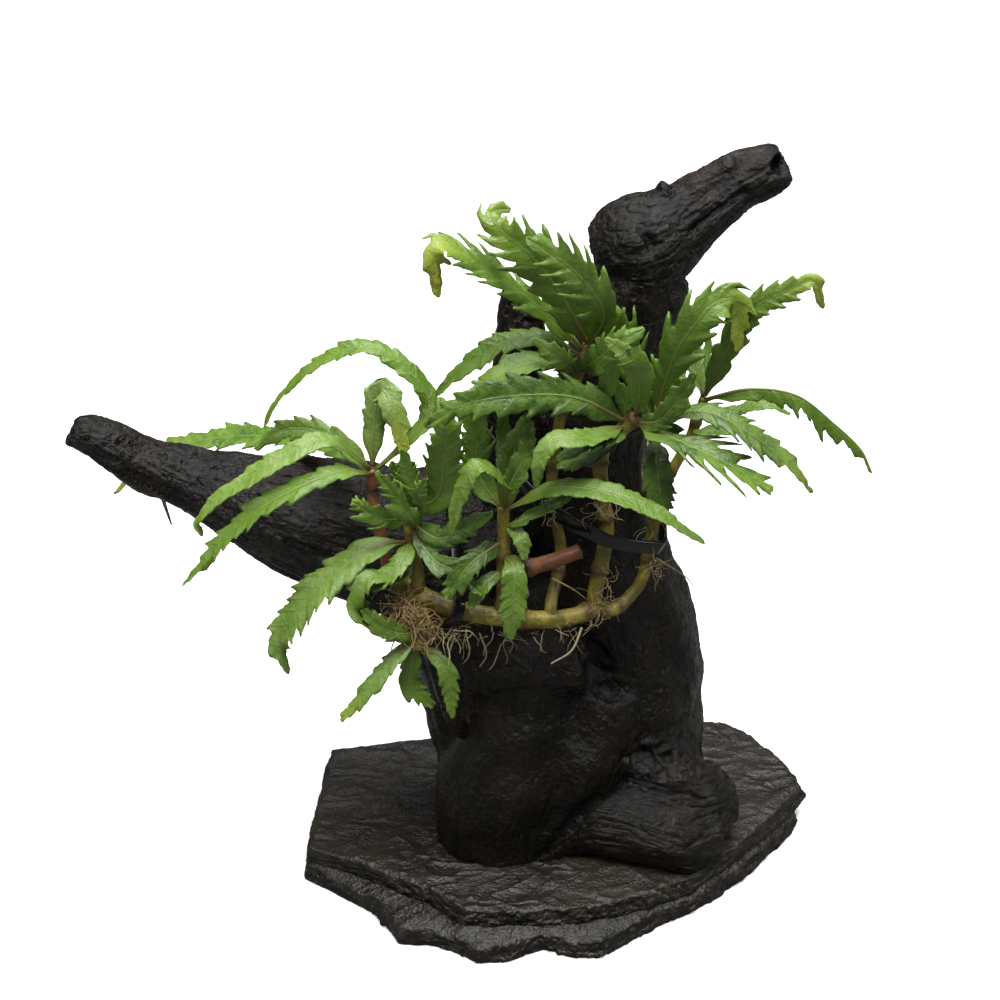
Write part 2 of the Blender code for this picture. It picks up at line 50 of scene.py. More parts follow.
# ---- shapes shared with the solids ----
SLATE_TOP, SLATE_STEP = 12.0, 6.0
LOWER_OUTLINE = [
    (-80, -15), (-68, -24), (-57, -33), (-49, -47), (-40, -48), (-33, -50), (-25, -56), (-16, -55),
    (-5, -50), (4, -53), (13, -53), (30, -39), (42, -32), (58, -17), (73, 3), (79, 12), (75, 34),
    (66, 51), (58, 56), (30, 55), (0, 53), (-39, 48), (-75, 40), (-79, 10),
]
UPPER_OUTLINE = [
    (-79, -14), (-62, -22), (-44, -33), (-29, -46), (-10, -46), (7, -45), (28, -38), (40, -31),
    (56, -15), (72, 5), (82, 19), (76, 34), (66, 51), (58, 57), (30, 55), (0, 53), (-39, 48),
    (-75, 40), (-78, 10),
]
LIMBS = {
    "trunk_left": [
        (-13, 16, 6, 25), (-13, 16, 30, 25), (-15, 17, 48, 27.5), (-18, 18, 68, 29), (-20, 18, 80, 30),
        (-22, 19, 94, 27.5),
    ],
    "trunk_right": [
        (20, 20, 6, 26), (20, 20, 30, 28), (18, 20, 50, 28.5), (17, 20, 68, 28), (13.5, 20, 84, 26),
        (11, 20, 103, 21.5), (9, 20, 122, 18.5), (10, 20, 138, 16.5), (15, 21, 158, 15), (20, 23, 176, 15),
        (20, 25, 190, 14),
    ],
    "left_arm": [
        (-20, 19, 96, 25.5), (-40, 20, 100, 23.5), (-64, 22, 105.5, 21), (-80, 24, 110.5, 18),
        (-95, 26, 114.5, 14.5), (-110, 28, 118.5, 10.5), (-123, 30, 123.5, 8), (-134, 30, 129.5, 6.5),
        (-142, 30, 133.5, 6), (-148, 30, 136.5, 5),
    ],
    "upper_arm": [
        (9, 25, 198, 7), (14, 25, 199, 11.5), (21, 25, 199, 15), (28, 26, 201, 14), (36, 28, 206, 11),
        (43, 30, 211, 9), (50, 32, 215, 7.5), (57, 33, 218.5, 6.8), (63, 34, 221, 6),
    ],
    "arm_knuckle": [(32, 28, 208, 7), (41, 29, 214, 7)],
    "arm_neck": [(22, 25, 178, 14), (26, 26, 190, 12)],
    "stub": [
        (-12, 20, 112, 15), (-13, 20, 135, 10), (-13, 20, 155, 7), (-13.5, 20, 168, 5.5), (-15, 20, 178, 3.6),
        (-15, 20, 188, 1.8),
    ],
    "stub_fork": [(-11, 20, 160, 5.5), (-9, 20, 172, 4.5), (-7, 20, 182, 2.8)],
    "front_lobe": [
        (-8, -2, 72, 15), (-10, -2, 60, 18), (-13, -3, 42, 20.5), (-18, -4, 24, 21), (-18, -4, 8, 20.5),
    ],
    "front_ledge": [(-26, -2, 72, 12), (-12, -5, 75, 12), (6, -3, 76, 12)],
    "front_slope": [(14, 2, 64, 15), (9, -2, 46, 18), (1, -4, 26, 17), (-6, -6, 8, 16)],
    "shoulder": [(22, 10, 66, 18), (25, 8, 52, 18), (26, 8, 40, 15)],
    "right_root": [
        (2, -6, 16, 12), (14, -8, 22, 14), (24, -11, 22, 14), (34, -14, 20, 14), (42, -16, 18, 12.5),
        (48, -14, 18, 9.5),
    ],
    "root_ridge": [(22, -4, 46, 10), (34, -6, 35, 12), (45, -8, 25, 12), (49, -9, 17, 10)],
}
FORKS = {
    "driftwood_left_arm": ((-103, 25, 110), (114, 90, 100), 0),
    "driftwood_upper_arm": ((44, 35, 221), (92, 90, 80), 0),
    "driftwood_stub": ((-27, 25, 171), (47, 70, 50), 0),
    "driftwood_right_root": ((37, -32, -4), (80, 60, 80), -41.5),
}
STEMS = {
    "rhizome": (3.2, [
        (-49, -12, 108), (-39, -16, 104), (-27, -20, 102), (-12, -22, 101), (1, -20, 100), (10, -16, 101),
    ]),
    "stem_top": (2.0, [
        (-3, -19, 105), (0, -9, 116), (-3, -7, 134), (-1, -5, 156), (4, -3, 170), (7, -2, 180),
    ]),
    "stem_crown_front": (2.6, [
        (10, -15, 106), (13, -11, 123), (12, -10, 134), (11, -8, 147), (16, -8, 155), (21, -8, 160),
    ]),
    "stem_crown_back": (2.1, [
        (15, -14, 99), (21, -10, 102), (25, -8, 110), (28, -4, 134), (27, -3, 148), (26, -3, 156),
    ]),
    "stem_right": (1.8, [(31, -1, 137), (37, 2, 147), (41, 2, 161)]),
    "stem_middle": (2.3, [(-17, -20, 106), (-17, -20, 116), (-17, -19, 124), (-17, -18, 136)]),
    "stem_left_front": (2.4, [(-42, -16, 110), (-43, -14, 117), (-44, -13, 125), (-45, -12, 132)]),
    "stem_left_back": (1.8, [(-51, -11, 112), (-53, -9, 122), (-55, -8, 132), (-55, -8, 143)]),
    "stem_low": (1.9, [(-41, -19, 99), (-42, -20, 95), (-42, -21, 90)]),
    "old_stem": (2.4, [(-13.9, -20.5, 116), (-9, -21, 118), (-2, -22, 121), (5, -22, 124)]),
}
UP, OUT = (0.0, -0.35, 1.0), (0.0, -1.0, 0.5)
LEAVES = {
    "leaf_top_1": ("stem_top", 1.0, 15, 0.5, 8, OUT, [
        (-1, -8, 198), (-10, -12, 212), (-18, -12, 219), (-20, -9, 223), (-15, -6, 223),
    ]),
    "leaf_top_2": ("stem_top", 0.98, 15, 0.6, 8, OUT, [
        (11, -8, 190), (9, -13, 199), (2, -16, 209), (-5, -17, 215), (-11, -17, 219),
    ]),
    "leaf_top_3": ("stem_top", 0.97, 14, 0.5, 8, UP, [
        (-5, -5, 191), (-18, -8, 203), (-31, -11, 213), (-36, -13, 213), (-35, -14, 200),
    ]),
    "leaf_top_4": ("stem_top", 0.95, 10, 0.3, 8, UP, [
        (-6, -4, 183), (-17, -3, 181), (-28, -4, 174), (-36, -4, 165),
    ]),
    "leaf_top_5": ("stem_top", 0.92, 10, 0.3, 8, UP, [(-5, -10, 179), (-17, -13, 177), (-27, -15, 171)]),
    "leaf_crown_1": ("stem_crown_front", 0.95, 13, 0.4, 8, OUT, [
        (4, -16, 170), (-12, -20, 173), (-28, -22, 171), (-39, -22, 164),
    ]),
    "leaf_crown_2": ("stem_crown_front", 1.0, 9, 0.2, 8, OUT, [
        (21, -15, 178), (16, -17, 185), (11, -17, 189),
    ]),
    "leaf_crown_3": ("stem_crown_back", 1.0, 14, 0.5, 8, OUT, [
        (31, -8, 179), (37, -10, 191), (42, -9, 196), (48, -7, 195), (49, -7, 180),
    ]),
    "leaf_crown_4": ("stem_crown_back", 0.98, 12, 0.6, 8, OUT, [(20, -3, 173), (16, -5, 188), (11, -5, 194)]),
    "leaf_crown_5": ("stem_crown_front", 1.0, 10, 0.4, 8, UP, [
        (39, -14, 165), (51, -18, 161), (63, -20, 152), (71, -20, 142),
    ]),
    "leaf_crown_6": ("stem_crown_front", 0.97, 15, 0.8, 8, UP, [
        (34, -18, 157), (47, -24, 153), (59, -26, 146),
    ]),
    "leaf_crown_7": ("stem_crown_front", 0.93, 8, 0.1, 8, UP, [
        (7, -24, 162), (-3, -28, 163), (-7, -30, 157), (-8, -30, 149),
    ]),
    "leaf_crown_8": ("stem_crown_front", 0.88, 9, 0.3, 8, UP, [(9, -16, 153), (-2, -18, 149)]),
    "leaf_crown_9": ("stem_crown_back", 0.93, 10, 0.2, 8, OUT, [
        (27, -11, 148), (28, -13, 139), (30, -13, 130),
    ]),
    "leaf_right_1": ("stem_right", 1.0, 9, 0.4, 8, OUT, [
        (46, -4, 179), (53, -6, 193), (63, -8, 200), (69, -8, 202), (72, -8, 194),
    ]),
    "leaf_right_2": ("stem_right", 0.98, 10, 0.5, -50, UP, [
        (53, -6, 168), (66, -10, 168), (77, -12, 160), (85, -12, 152), (89, -12, 144),
    ]),
    "leaf_right_3": ("stem_right", 1.0, 6, 0.2, 8, OUT, [(38, 6, 172), (35, 5, 180), (34, 4, 187)]),
    "leaf_right_4": ("stem_right", 0.93, 4, 0.6, 8, OUT, [(42, 9, 174), (40, 10, 183)]),
    "leaf_left_1": ("stem_left_back", 1.0, 8, 0.1, 8, UP, [
        (-67, -16, 157), (-81, -22, 153), (-96, -24, 144), (-104, -24, 135), (-103, -24, 130),
    ]),
    "leaf_left_2": ("stem_left_back", 0.95, 9, 0.4, 8, UP, [
        (-63, -20, 149), (-77, -26, 146), (-92, -28, 136), (-109, -30, 117),
    ]),
    "leaf_left_3": ("stem_left_back", 0.97, 7, 0.2, 8, UP, [
        (-46, -7, 150), (-39, -4, 158), (-39, -1, 164), (-45, 1, 171), (-55, 3, 177), (-68, 4, 173),
        (-81, 6, 161), (-87, 6, 150),
    ]),
    "leaf_left_4": ("stem_left_back", 0.97, 8, 0.4, 8, OUT, [
        (-64, -1, 148), (-74, 4, 150), (-83, 6, 148), (-90, 6, 142),
    ]),
    "leaf_left_5": ("stem_left_back", 0.92, 11, 0.3, 8, UP, [
        (-62, 8, 139), (-76, 28, 134), (-92, 42, 128), (-108, 48, 124), (-126, 50, 118), (-141, 50, 103),
    ]),
    "leaf_left_6": ("stem_left_back", 1.0, 9, 0.3, 8, OUT, [
        (-54, -5, 158), (-52, -4, 167), (-48, -9, 162), (-45, -12, 148),
    ]),
    "leaf_left_7": ("stem_left_front", 0.88, 8, 0.6, 8, OUT, [(-52, -19, 133), (-60, -23, 141)]),
    "leaf_left_8": ("stem_left_front", 1.0, 5, 0.4, 8, OUT, [(-46, -13, 140), (-49, -14, 149)]),
    "leaf_left_9": ("stem_left_front", 0.98, 5, 0.4, 8, OUT, [(-42, -18, 140), (-39, -21, 147)]),
    "leaf_left_10": ("stem_left_front", 0.55, 13, 0.25, 8, UP, [
        (-52, -17, 123), (-61, -21, 120), (-74, -26, 110), (-82, -28, 97), (-80, -28, 86),
    ]),
    "leaf_left_11": ("stem_left_front", 0.6, 8, 0.3, 8, UP, [(-47, -22, 120), (-55, -26, 113)]),
    "leaf_left_12": ("stem_low", 0.2, 7, 0.4, 8, UP, [(-50, -23, 100), (-58, -25, 105), (-59, -25, 114)]),
    "leaf_left_13": ("stem_low", 0.6, 7, 0.3, 8, UP, [(-49, -25, 89), (-56, -29, 82), (-65, -31, 71)]),
    "leaf_left_14": ("stem_low", 0.9, 8, 0.4, 8, OUT, [(-45, -21, 79), (-38, -22, 70)]),
    "leaf_left_15": ("stem_low", 0.8, 6, 0.2, 8, OUT, [(-34, -26, 86), (-32, -28, 70)]),
    "leaf_middle_1": ("stem_left_front", 0.95, 12, 0.3, 8, OUT, [
        (-36, -15, 138), (-34, -17, 150), (-33, -17, 162), (-35, -13, 169),
    ]),
    "leaf_middle_2": ("stem_middle", 1.0, 7, 0.15, 8, UP, [
        (-17, -24, 148), (-24, -28, 155), (-29, -29, 147), (-32, -29, 133),
    ]),
    "leaf_middle_3": ("stem_middle", 1.0, 8, 0.2, 8, OUT, [(-14, -15, 152), (-10, -13, 164)]),
    "leaf_middle_4": ("stem_middle", 0.65, 9, 0.5, 8, OUT, [(-26, -27, 123), (-34, -30, 113)]),
    "leaf_middle_5": ("stem_middle", 0.85, 5, 0.1, 8, OUT, [(-12, -25, 130), (-11, -27, 124)]),
    "leaf_middle_6": ("stem_middle", 0.97, 8, 0.1, 8, UP, [
        (-1, -24, 146), (16, -28, 145), (28, -30, 140), (40, -30, 131),
    ]),
    "leaf_middle_7": ("stem_middle", 0.5, 9, 0.2, 8, OUT, [
        (-14, -27, 121), (-14, -30, 114), (-15, -32, 100),
    ]),
    "leaf_middle_8": ("stem_middle", 0.96, 10, 0.4, 8, OUT, [
        (-24, -13, 144), (-25, -11, 157), (-28, -9, 167),
    ]),
}
RED_STEMS = {"stem_left_back", "old_stem"}

# ---- leaf colours: tone (0 dark green, 1 pale) and how far the tip has yellowed ----
LEAF_TONES = {
    "top": [
        (0.42, 0.25), (0.40, 0), (0.38, 1), (0.45, 0), (0.50, 0.1),
    ],
    "crown": [
        (0.20, 0), (0.60, 0.1), (0.45, 0.75), (0.38, 0), (0.22, 0.2), (0.30, 0.1), (0.62, 0),
        (0.25, 0), (0.20, 0),
    ],
    "right": [
        (0.52, 0.5), (0.45, 0.2), (0.90, 0.5), (0.25, 0),
    ],
    "left": [
        (0.68, 0.1), (0.45, 0), (0.45, 0.1), (0.55, 0), (0.30, 0.3), (0.85, 0.95), (0.35, 0.3),
        (0.35, 0), (0.55, 0), (0.62, 0), (0.60, 0), (0.65, 0), (0.60, 0.35), (0.45, 0), (0.45, 0.1),
    ],
    "middle": [
        (0.42, 0), (0.50, 0.1), (0.35, 0), (0.15, 0), (0.55, 0), (0.50, 0), (0.50, 0), (0.40, 0),
    ],
}
# Small young leaves: stem, place on it, width, lobes, facing, waypoints, tone, yellowing.
YOUNG_LEAVES = [
    ("stem_top", 0.85, 6, 0.3, OUT, [(11, -9, 168), (13, -10, 178), (9, -10, 186)], 0.60, 0.0),
    ("stem_crown_front", 0.92, 5, 0.4, OUT, [(17, -8, 166), (12, -9, 174)], 0.45, 0.0),
    ("stem_crown_back", 0.95, 6, 0.2, OUT, [(31, 2, 161), (34, 6, 168), (33, 6, 172)], 0.80, 0.3),
    ("stem_right", 0.80, 5, 0.2, UP, [(49, 2, 157), (59, 0, 160), (66, 0, 157)], 0.60, 0.0),
    ("stem_right", 0.60, 5, 0.2, UP, [(41, -3, 153), (52, -4, 154)], 0.50, 0.0),
    ("stem_left_front", 1.0, 5, 0.3, OUT, [(-44, -13, 139), (-43, -16, 150)], 0.55, 0.0),
    ("stem_middle", 0.35, 6, 0.3, UP, [(-22, -25, 115), (-27, -27, 108)], 0.30, 0.0),
    ("stem_left_front", 0.75, 7, 0.6, OUT, [(-37, -22, 121), (-30, -26, 119), (-23, -28, 113)], 0.20, 0.0),
    ("stem_left_front", 0.90, 7, 0.7, OUT, [(-43, -18, 131), (-48, -20, 141), (-53, -20, 149)], 0.25, 0.1),
    ("stem_left_front", 0.97, 7, 0.7, OUT, [(-41, -17, 136), (-44, -18, 146), (-46, -18, 155)], 0.40, 0.0),
    ("stem_left_front", 0.85, 8, 0.6, OUT, [(-36, -20, 127), (-28, -23, 132), (-20, -26, 139)], 0.15, 0.0),
    (
        "stem_left_front", 0.35, 7, 0.5, UP,
        [(-47, -21, 115), (-56, -26, 117), (-60, -28, 108), (-55, -28, 101)], 0.60, 0.0,
    ),
    ("stem_low", 0.3, 7, 0.5, OUT, [(-46, -24, 97), (-52, -27, 101), (-58, -28, 108)], 0.45, 0.0),
    ("stem_middle", 0.92, 7, 0.4, OUT, [(-15, -19, 144), (-11, -18, 153), (-9, -16, 163)], 0.25, 0.0),
    ("stem_middle", 0.80, 6, 0.4, UP, [(-12, -22, 134), (-5, -22, 138), (4, -21, 143)], 0.20, 0.0),
    ("stem_top", 0.90, 9, 0.5, OUT, [(9, -12, 180), (15, -15, 187), (22, -15, 191)], 0.30, 0.0),
    ("stem_top", 0.88, 7, 0.4, OUT, [(1, -12, 178), (-4, -15, 184), (-9, -15, 188)], 0.35, 0.0),
    ("stem_crown_front", 0.90, 8, 0.5, UP, [(14, -16, 158), (5, -21, 158), (-2, -23, 154)], 0.15, 0.0),
    ("stem_crown_front", 0.96, 8, 0.5, OUT, [(27, -14, 162), (33, -17, 172), (36, -18, 179)], 0.25, 0.0),
    ("stem_middle", 0.98, 5, 0.2, OUT, [(-17, -12, 146), (-17, -6, 156), (-18, -6, 165)], 0.40, 0.0),
]

# ---- roots ----
# Tufts: middle, spread, strands, length, radius, how fast they sink, tan (0 white, 1 golden brown).
ROOT_TUFTS = [
    ((-45, -20, 102), (5, 3, 4), 130, 11, 0.20, 0.02, 0.80),
    ((-39, -22, 98), (4, 3, 3), 60, 9, 0.20, 0.05, 0.75),
    ((-29, -22, 97), (4, 2, 2), 12, 12, 0.26, 0.35, 0.25),
    ((-20, -23, 97), (4, 2, 2), 10, 9, 0.20, 0.30, 0.40),
    ((-2, -23, 98), (7, 2, 2), 16, 7, 0.16, 0.15, 0.45),
    ((10, -18, 102), (3, 3, 4), 22, 8, 0.17, 0.10, 0.50),
    ((13, -15, 112), (2, 2, 4), 12, 8, 0.15, 0.08, 0.50),
    ((27, -10, 112), (2, 2, 3), 16, 8, 0.16, 0.15, 0.50),
    ((12, -12, 133), (3, 2, 3), 16, 9, 0.15, 0.10, 0.30),
    ((27, -6, 124), (2, 2, 5), 10, 9, 0.15, 0.15, 0.10),
    ((-4, -10, 132), (3, 2, 4), 10, 9, 0.15, 0.10, 0.40),
]
# Long roots: radius, tan, waypoints.
LONG_ROOTS = [
    (0.45, 0.15, [(6, -22, 98), (3, -25, 92), (-3, -26, 88)]),
    (0.35, 0.10, [(-31, -22, 96), (-33, -22, 88), (-31, -20, 82), (-30, -19, 78)]),
    (0.30, 0.10, [(-28, -22, 96), (-27, -22, 89), (-29, -20, 84)]),
    (0.30, 0.15, [(-24, -22, 96), (-22, -21, 88), (-24, -20, 83)]),
    (0.28, 0.10, [(-48, -21, 95), (-50, -21, 90), (-49, -20, 86)]),
    (0.40, 0.05, [(27, -2, 148), (26, -12, 142), (29, -13, 132), (31, -11, 127)]),
    (0.30, 0.10, [(25, -3, 150), (23, -12, 143), (27, -13, 134)]),
    (0.30, 0.60, [(28, -9, 114), (33, -8, 110), (38, -4, 104), (40, -2, 100)]),
    (0.28, 0.85, [(-3, -24, 116), (3, -25, 113), (7, -24, 109)]),
]

WOOD_VOXEL = 1.35
WOOD_SMOOTHING = 14
WOOD_SWELL = 0.6
WOOD_LUMP, WOOD_LUMP_SIZE = 1.6, 14.0
WOOD_FOOT = 11.6  # the wood's flat foot, just inside the slate
TRUNK = "driftwood_trunk"
# Limbs too thin for the skin, as x, y, z, radius.
TWIG_STEPS = 40
TWIGS = {
    "side_spur": [
        (-40, -9, 84, 1.5), (-37, -13, 75, 1.8), (-34, -15, 66, 2.1), (-31, -13, 57, 2.5), (-27, -6, 49, 2.8),
        (-25, 0, 43, 2.8),
    ],
    "splinter": [(-121, 20, 119, 0.7), (-119, 17, 114, 0.5), (-118, 16, 111, 0.25)],
}
# Weathered hollows and cracks: half width, depth, path. The deep narrow ones also get painted shade in the
# wood's colour.
HOLLOWS = [
    (1.0, 2.2, [(-120, 20, 133), (-121, 19, 128), (-120, 19, 123)]),
    (0.7, 1.6, [(-118, 20, 128), (-110, 19, 129), (-101, 20, 128), (-92, 17, 127)]),
    (0.7, 1.4, [(-90, 6, 118), (-75, 3, 113), (-62, 0, 108)]),
    (0.6, 1.2, [(-134, 24, 128), (-120, 18, 120), (-104, 12, 112)]),
    (2.4, 2.0, [(22, -12, 50), (10, -18, 34), (-4, -22, 15)]),
    (3.6, 5.0, [(6, -8, 86), (12, -9, 77), (15, -11, 67)]),
    (3.8, 7.0, [(27, -13, 47), (36, -9, 42), (47, 0, 39)]),
    (1.6, 2.6, [(21, 12, 212), (24, 12, 207), (25, 13, 203)]),
    (1.0, 1.8, [(8, 14, 206), (12, 13, 199), (15, 12, 192)]),
    (1.1, 2.0, [(34, 17, 205), (43, 20, 211), (52, 24, 216)]),
    (0.7, 1.5, [(26, -2, 82), (28, -2, 74), (27, -3, 68)]),
    (0.6, 1.2, [(-6, -23, 58), (-2, -23, 48), (-6, -24, 38)]),
    (0.6, 1.4, [(14, -22, 30), (26, -27, 31), (38, -26, 29)]),
]
KNOBS = [
    (2.4, 3.4, (29, 24, 216)), (3.6, 3.4, (40, 27, 222)), (2.6, 1.6, (47, 29, 223)),
    (3.0, 1.6, (-118, 22, 130)), (3.5, 1.2, (14, -3, 91)), (4.0, 1.4, (48, -14, 26)),
    (3.0, 1.5, (36, -22, 28)),
]
TOE = ((50, -18, 18), (14, 14, 9))  # the worn tip of the right root: its middle and half its size
TIP_HOLLOW = ((63.0, 29.5, 222.0), (0.72, -0.62, 0.31), 3.4, 5.0)  # mouth, outward direction, radius, depth

# ---- noise ----
DICE = np.random.default_rng(7)
SHUFFLE = np.tile(DICE.permutation(256), 3)
SLOPES = DICE.normal(size=(256, 3))
SLOPES /= np.linalg.norm(SLOPES, axis=1)[:, None]


def grain_noise(points, seed=0):
    """Smooth noise, about -1 to 1, at each row of points."""
    cell = np.floor(points).astype(int)
    part = points - cell
    fade = part**3 * (part * (part * 6 - 15) + 10)
    total = np.zeros(len(points))
    for corner in itertools.product((0, 1), repeat=3):
        at = (cell + corner) & 255
        slope = SLOPES[SHUFFLE[SHUFFLE[SHUFFLE[(at[:, 0] + seed) & 255] + at[:, 1]] + at[:, 2]]]
        weight = np.prod(np.where(corner, fade, 1 - fade), axis=1)
        total += weight * ((part - corner) * slope).sum(axis=1)
    return total * 1.7


def rough_noise(points, octaves, seed=0):
    """Several octaves of noise added up."""
    return sum(grain_noise(points * 2**k, seed + 17 * k) / 2**k for k in range(octaves))


def ridges(points, seed=0):
    """Thin raised lines, 0 to 1."""
    return 1 - np.abs(grain_noise(points, seed))


# ---- lines and meshes ----
def rows_of(rows):
    return np.array([row[:3] for row in rows], float) * MM


def even_path(points, count):
    """count points, evenly spaced by length, along a polyline."""
    lengths = np.r_[0, np.cumsum(np.linalg.norm(np.diff(points, axis=0), axis=1))]
    at = np.linspace(0, lengths[-1], count)
    return np.stack([np.interp(at, lengths, points[:, k]) for k in range(3)], axis=1)


def smooth_path(points, count):
    """count points, evenly spaced by length, on a smooth curve through the waypoints."""
    points = np.asarray(points, float)
    ends = np.vstack([2 * points[0] - points[1], points, 2 * points[-1] - points[-2]])
    t = np.linspace(0, 1, 24, endpoint=False)[:, None]
    dense = [
        (b * 2 + (c - a) * t + (a * 2 - b * 5 + c * 4 - d) * t**2 + (b * 3 - a - c * 3 + d) * t**3) / 2
        for a, b, c, d in zip(ends, ends[1:], ends[2:], ends[3:])
    ]
    return even_path(np.vstack([*dense, points[-1:]]), count)


def unit(rows):
    return rows / np.maximum(np.linalg.norm(rows, axis=-1, keepdims=True), 1e-12)


def line_distance(points, line):
    """For each point: its distance to the line, and how far along the line it is nearest to, 0 to 1."""
    best = np.full(len(points), 1e9)
    place = np.zeros(len(points))
    lengths = np.r_[0, np.cumsum(np.linalg.norm(np.diff(line, axis=0), axis=1))]
    for i, (a, b) in enumerate(zip(line, line[1:])):
        t = np.clip(((points - a) @ (b - a)) / ((b - a) @ (b - a)), 0, 1)
        gap = np.linalg.norm(points - a - t[:, None] * (b - a), axis=1)
        nearer = gap < best
        best[nearer] = gap[nearer]
        place[nearer] = lengths[i] + t[nearer] * (lengths[i + 1] - lengths[i])
    return best, place / lengths[-1]


def carried_frames(path):
    """Tangent and two side directions along a path, turned as little as possible."""
    along = unit(np.gradient(path, axis=0))
    side = np.cross(along[0], (0.0, 0.0, 1.0) if abs(along[0][2]) < 0.9 else (1.0, 0.0, 0.0))
    sides = []
    for tangent in along:
        side = side - tangent * (side @ tangent)
        side = side / max(np.linalg.norm(side), 1e-12)
        sides.append(side)
    sides = np.array(sides)
    return along, sides, np.cross(along, sides)


class Shape:
    """Points, faces and per-point values gathered from several strips, for one mesh."""

    def __init__(self):
        self.points, self.faces, self.values, self.count = [], [], {}, 0

    def add(self, points, faces, **values):
        self.points.append(points)
        for face in faces:
            self.faces.append([i + self.count for i in face])
        for name, value in values.items():
            value = np.broadcast_to(np.asarray(value, float), (len(points),) + np.shape(value)[1:])
            self.values.setdefault(name, []).append(value)
        self.count += len(points)

    def mesh(self, name, material):
        mesh = bpy.data.meshes.new(name)
        mesh.from_pydata(np.vstack(self.points).tolist(), [], self.faces)
        for key, parts in self.values.items():
            set_values(mesh, key, np.concatenate(parts))
        mesh.materials.append(material)
        mesh.shade_smooth()
        return mesh


def set_values(mesh, name, value):
    kind, field = ("FLOAT_VECTOR", "vector") if value.ndim == 2 else ("FLOAT", "value")
    made = mesh.attributes.new(name, kind, "POINT")
    made.data.foreach_set(field, value.astype(np.float32).ravel())


def grid_faces(rows, columns, start=0, closed=False, flip=False):
    """Quads of a grid of points laid out row by row."""
    last = columns if closed else columns - 1
    i, j = np.meshgrid(np.arange(rows - 1), np.arange(last), indexing="ij")
    j2 = (j + 1) % columns
    near, far = i * columns, (i + 1) * columns
    quad = np.stack([near + j, near + j2, far + j2, far + j], axis=-1).reshape(-1, 4) + start
    return quad[:, ::-1] if flip else quad


CAP_BULGE = 0.3  # how far a bar's end stands out, as a share of its radius


def sweep(shape, path, radii, sides, **values):
    """A round bar along the path, closed at both ends. Values are one per path point."""
    along, right, over = carried_frames(path)
    angle = np.linspace(0, 2 * np.pi, sides, endpoint=False)
    radii = np.broadcast_to(radii, len(path))
    ring = np.cos(angle)[None, :, None] * right[:, None] + np.sin(angle)[None, :, None] * over[:, None]
    points = (path[:, None] + ring * radii[:, None, None]).reshape(-1, 3)
    count = len(points)
    faces = grid_faces(len(path), sides, closed=True).tolist()
    first = [(j, count, (j + 1) % sides) for j in range(sides)]
    base = count - sides
    last = [(base + j, base + (j + 1) % sides, count + 1) for j in range(sides)]
    ends = [path[:1] - along[:1] * radii[0] * CAP_BULGE, path[-1:] + along[-1:] * radii[-1] * CAP_BULGE]
    points = np.vstack([points, *ends])
    spread = {
        name: np.concatenate([np.repeat(np.asarray(value, float), sides, axis=0), value[:1], value[-1:]])
        for name, value in values.items()
    }
    shape.add(points, faces + first + last, **spread)


def piece(name, mesh, replaced):
    """A finished piece of the object, riding on its body."""
    obj = bpy.data.objects.new(name, mesh)
    bpy.context.scene.collection.objects.link(obj)
    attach(obj, "root")
    if replaced:
        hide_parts(*replaced)
    return obj


def helper(name, data):
    obj = bpy.data.objects.new(name, data)
    bpy.context.scene.collection.objects.link(obj)
    return obj


def evaluated_mesh(obj):
    graph = bpy.context.evaluated_depsgraph_get()
    return bpy.data.meshes.new_from_object(obj.evaluated_get(graph))


def remove(obj):
    bpy.data.objects.remove(obj, do_unlink=True)


def face_outward(mesh):
    shape = bmesh.new()
    shape.from_mesh(mesh)
    bmesh.ops.recalc_face_normals(shape, faces=shape.faces)
    shape.to_mesh(mesh)
    shape.free()


# ---- materials ----
def node(tree, kind, inputs=None, **settings):
    """A shader node with its settings, and its inputs linked or set."""
    made = tree.nodes.new(kind)
    for key, value in settings.items():
        setattr(made, key, value)
    for key, value in (inputs or {}).items():
        if isinstance(value, bpy.types.NodeSocket):
            tree.links.new(value, made.inputs[key])
        else:
            made.inputs[key].default_value = value
    return made


def math_node(tree, operation, a, b=0.0, clamp=False):
    return node(tree, "ShaderNodeMath", {0: a, 1: b}, operation=operation, use_clamp=clamp).outputs[0]


def blend(tree, factor, a, b):
    """Colour a turned into colour b by the factor."""
    made = tree.nodes.new("ShaderNodeMix")
    made.data_type, made.blend_type, made.clamp_factor = "RGBA", "MIX", True
    for index, value in ((0, factor), (6, a), (7, b)):
        if isinstance(value, bpy.types.NodeSocket):
            tree.links.new(value, made.inputs[index])
        else:
            made.inputs[index].default_value = value if index == 0 else (*value, 1.0)
    return made.outputs[2]


def ramp(tree, factor, low, high):
    """0 below low and 1 above high."""
    inputs = {"Value": factor, "From Min": low, "From Max": high}
    return node(tree, "ShaderNodeMapRange", inputs, interpolation_type="SMOOTHSTEP").outputs[0]


def attribute(tree, name, output="Fac"):
    return node(tree, "ShaderNodeAttribute", attribute_name=name).outputs[output]


def object_place(tree):
    return node(tree, "ShaderNodeTexCoord").outputs["Object"]


def group(name, inputs, outputs):
    """A new shader group with named sockets: (tree, input node, output node)."""
    tree = bpy.data.node_groups.new(name, "ShaderNodeTree")
    for label, kind, value in inputs:
        made = tree.interface.new_socket(label, in_out="INPUT", socket_type=kind)
        if value is not None:
            made.default_value = value
    for label, kind in outputs:
        tree.interface.new_socket(label, in_out="OUTPUT", socket_type=kind)
    return tree, tree.nodes.new("NodeGroupInput"), tree.nodes.new("NodeGroupOutput")


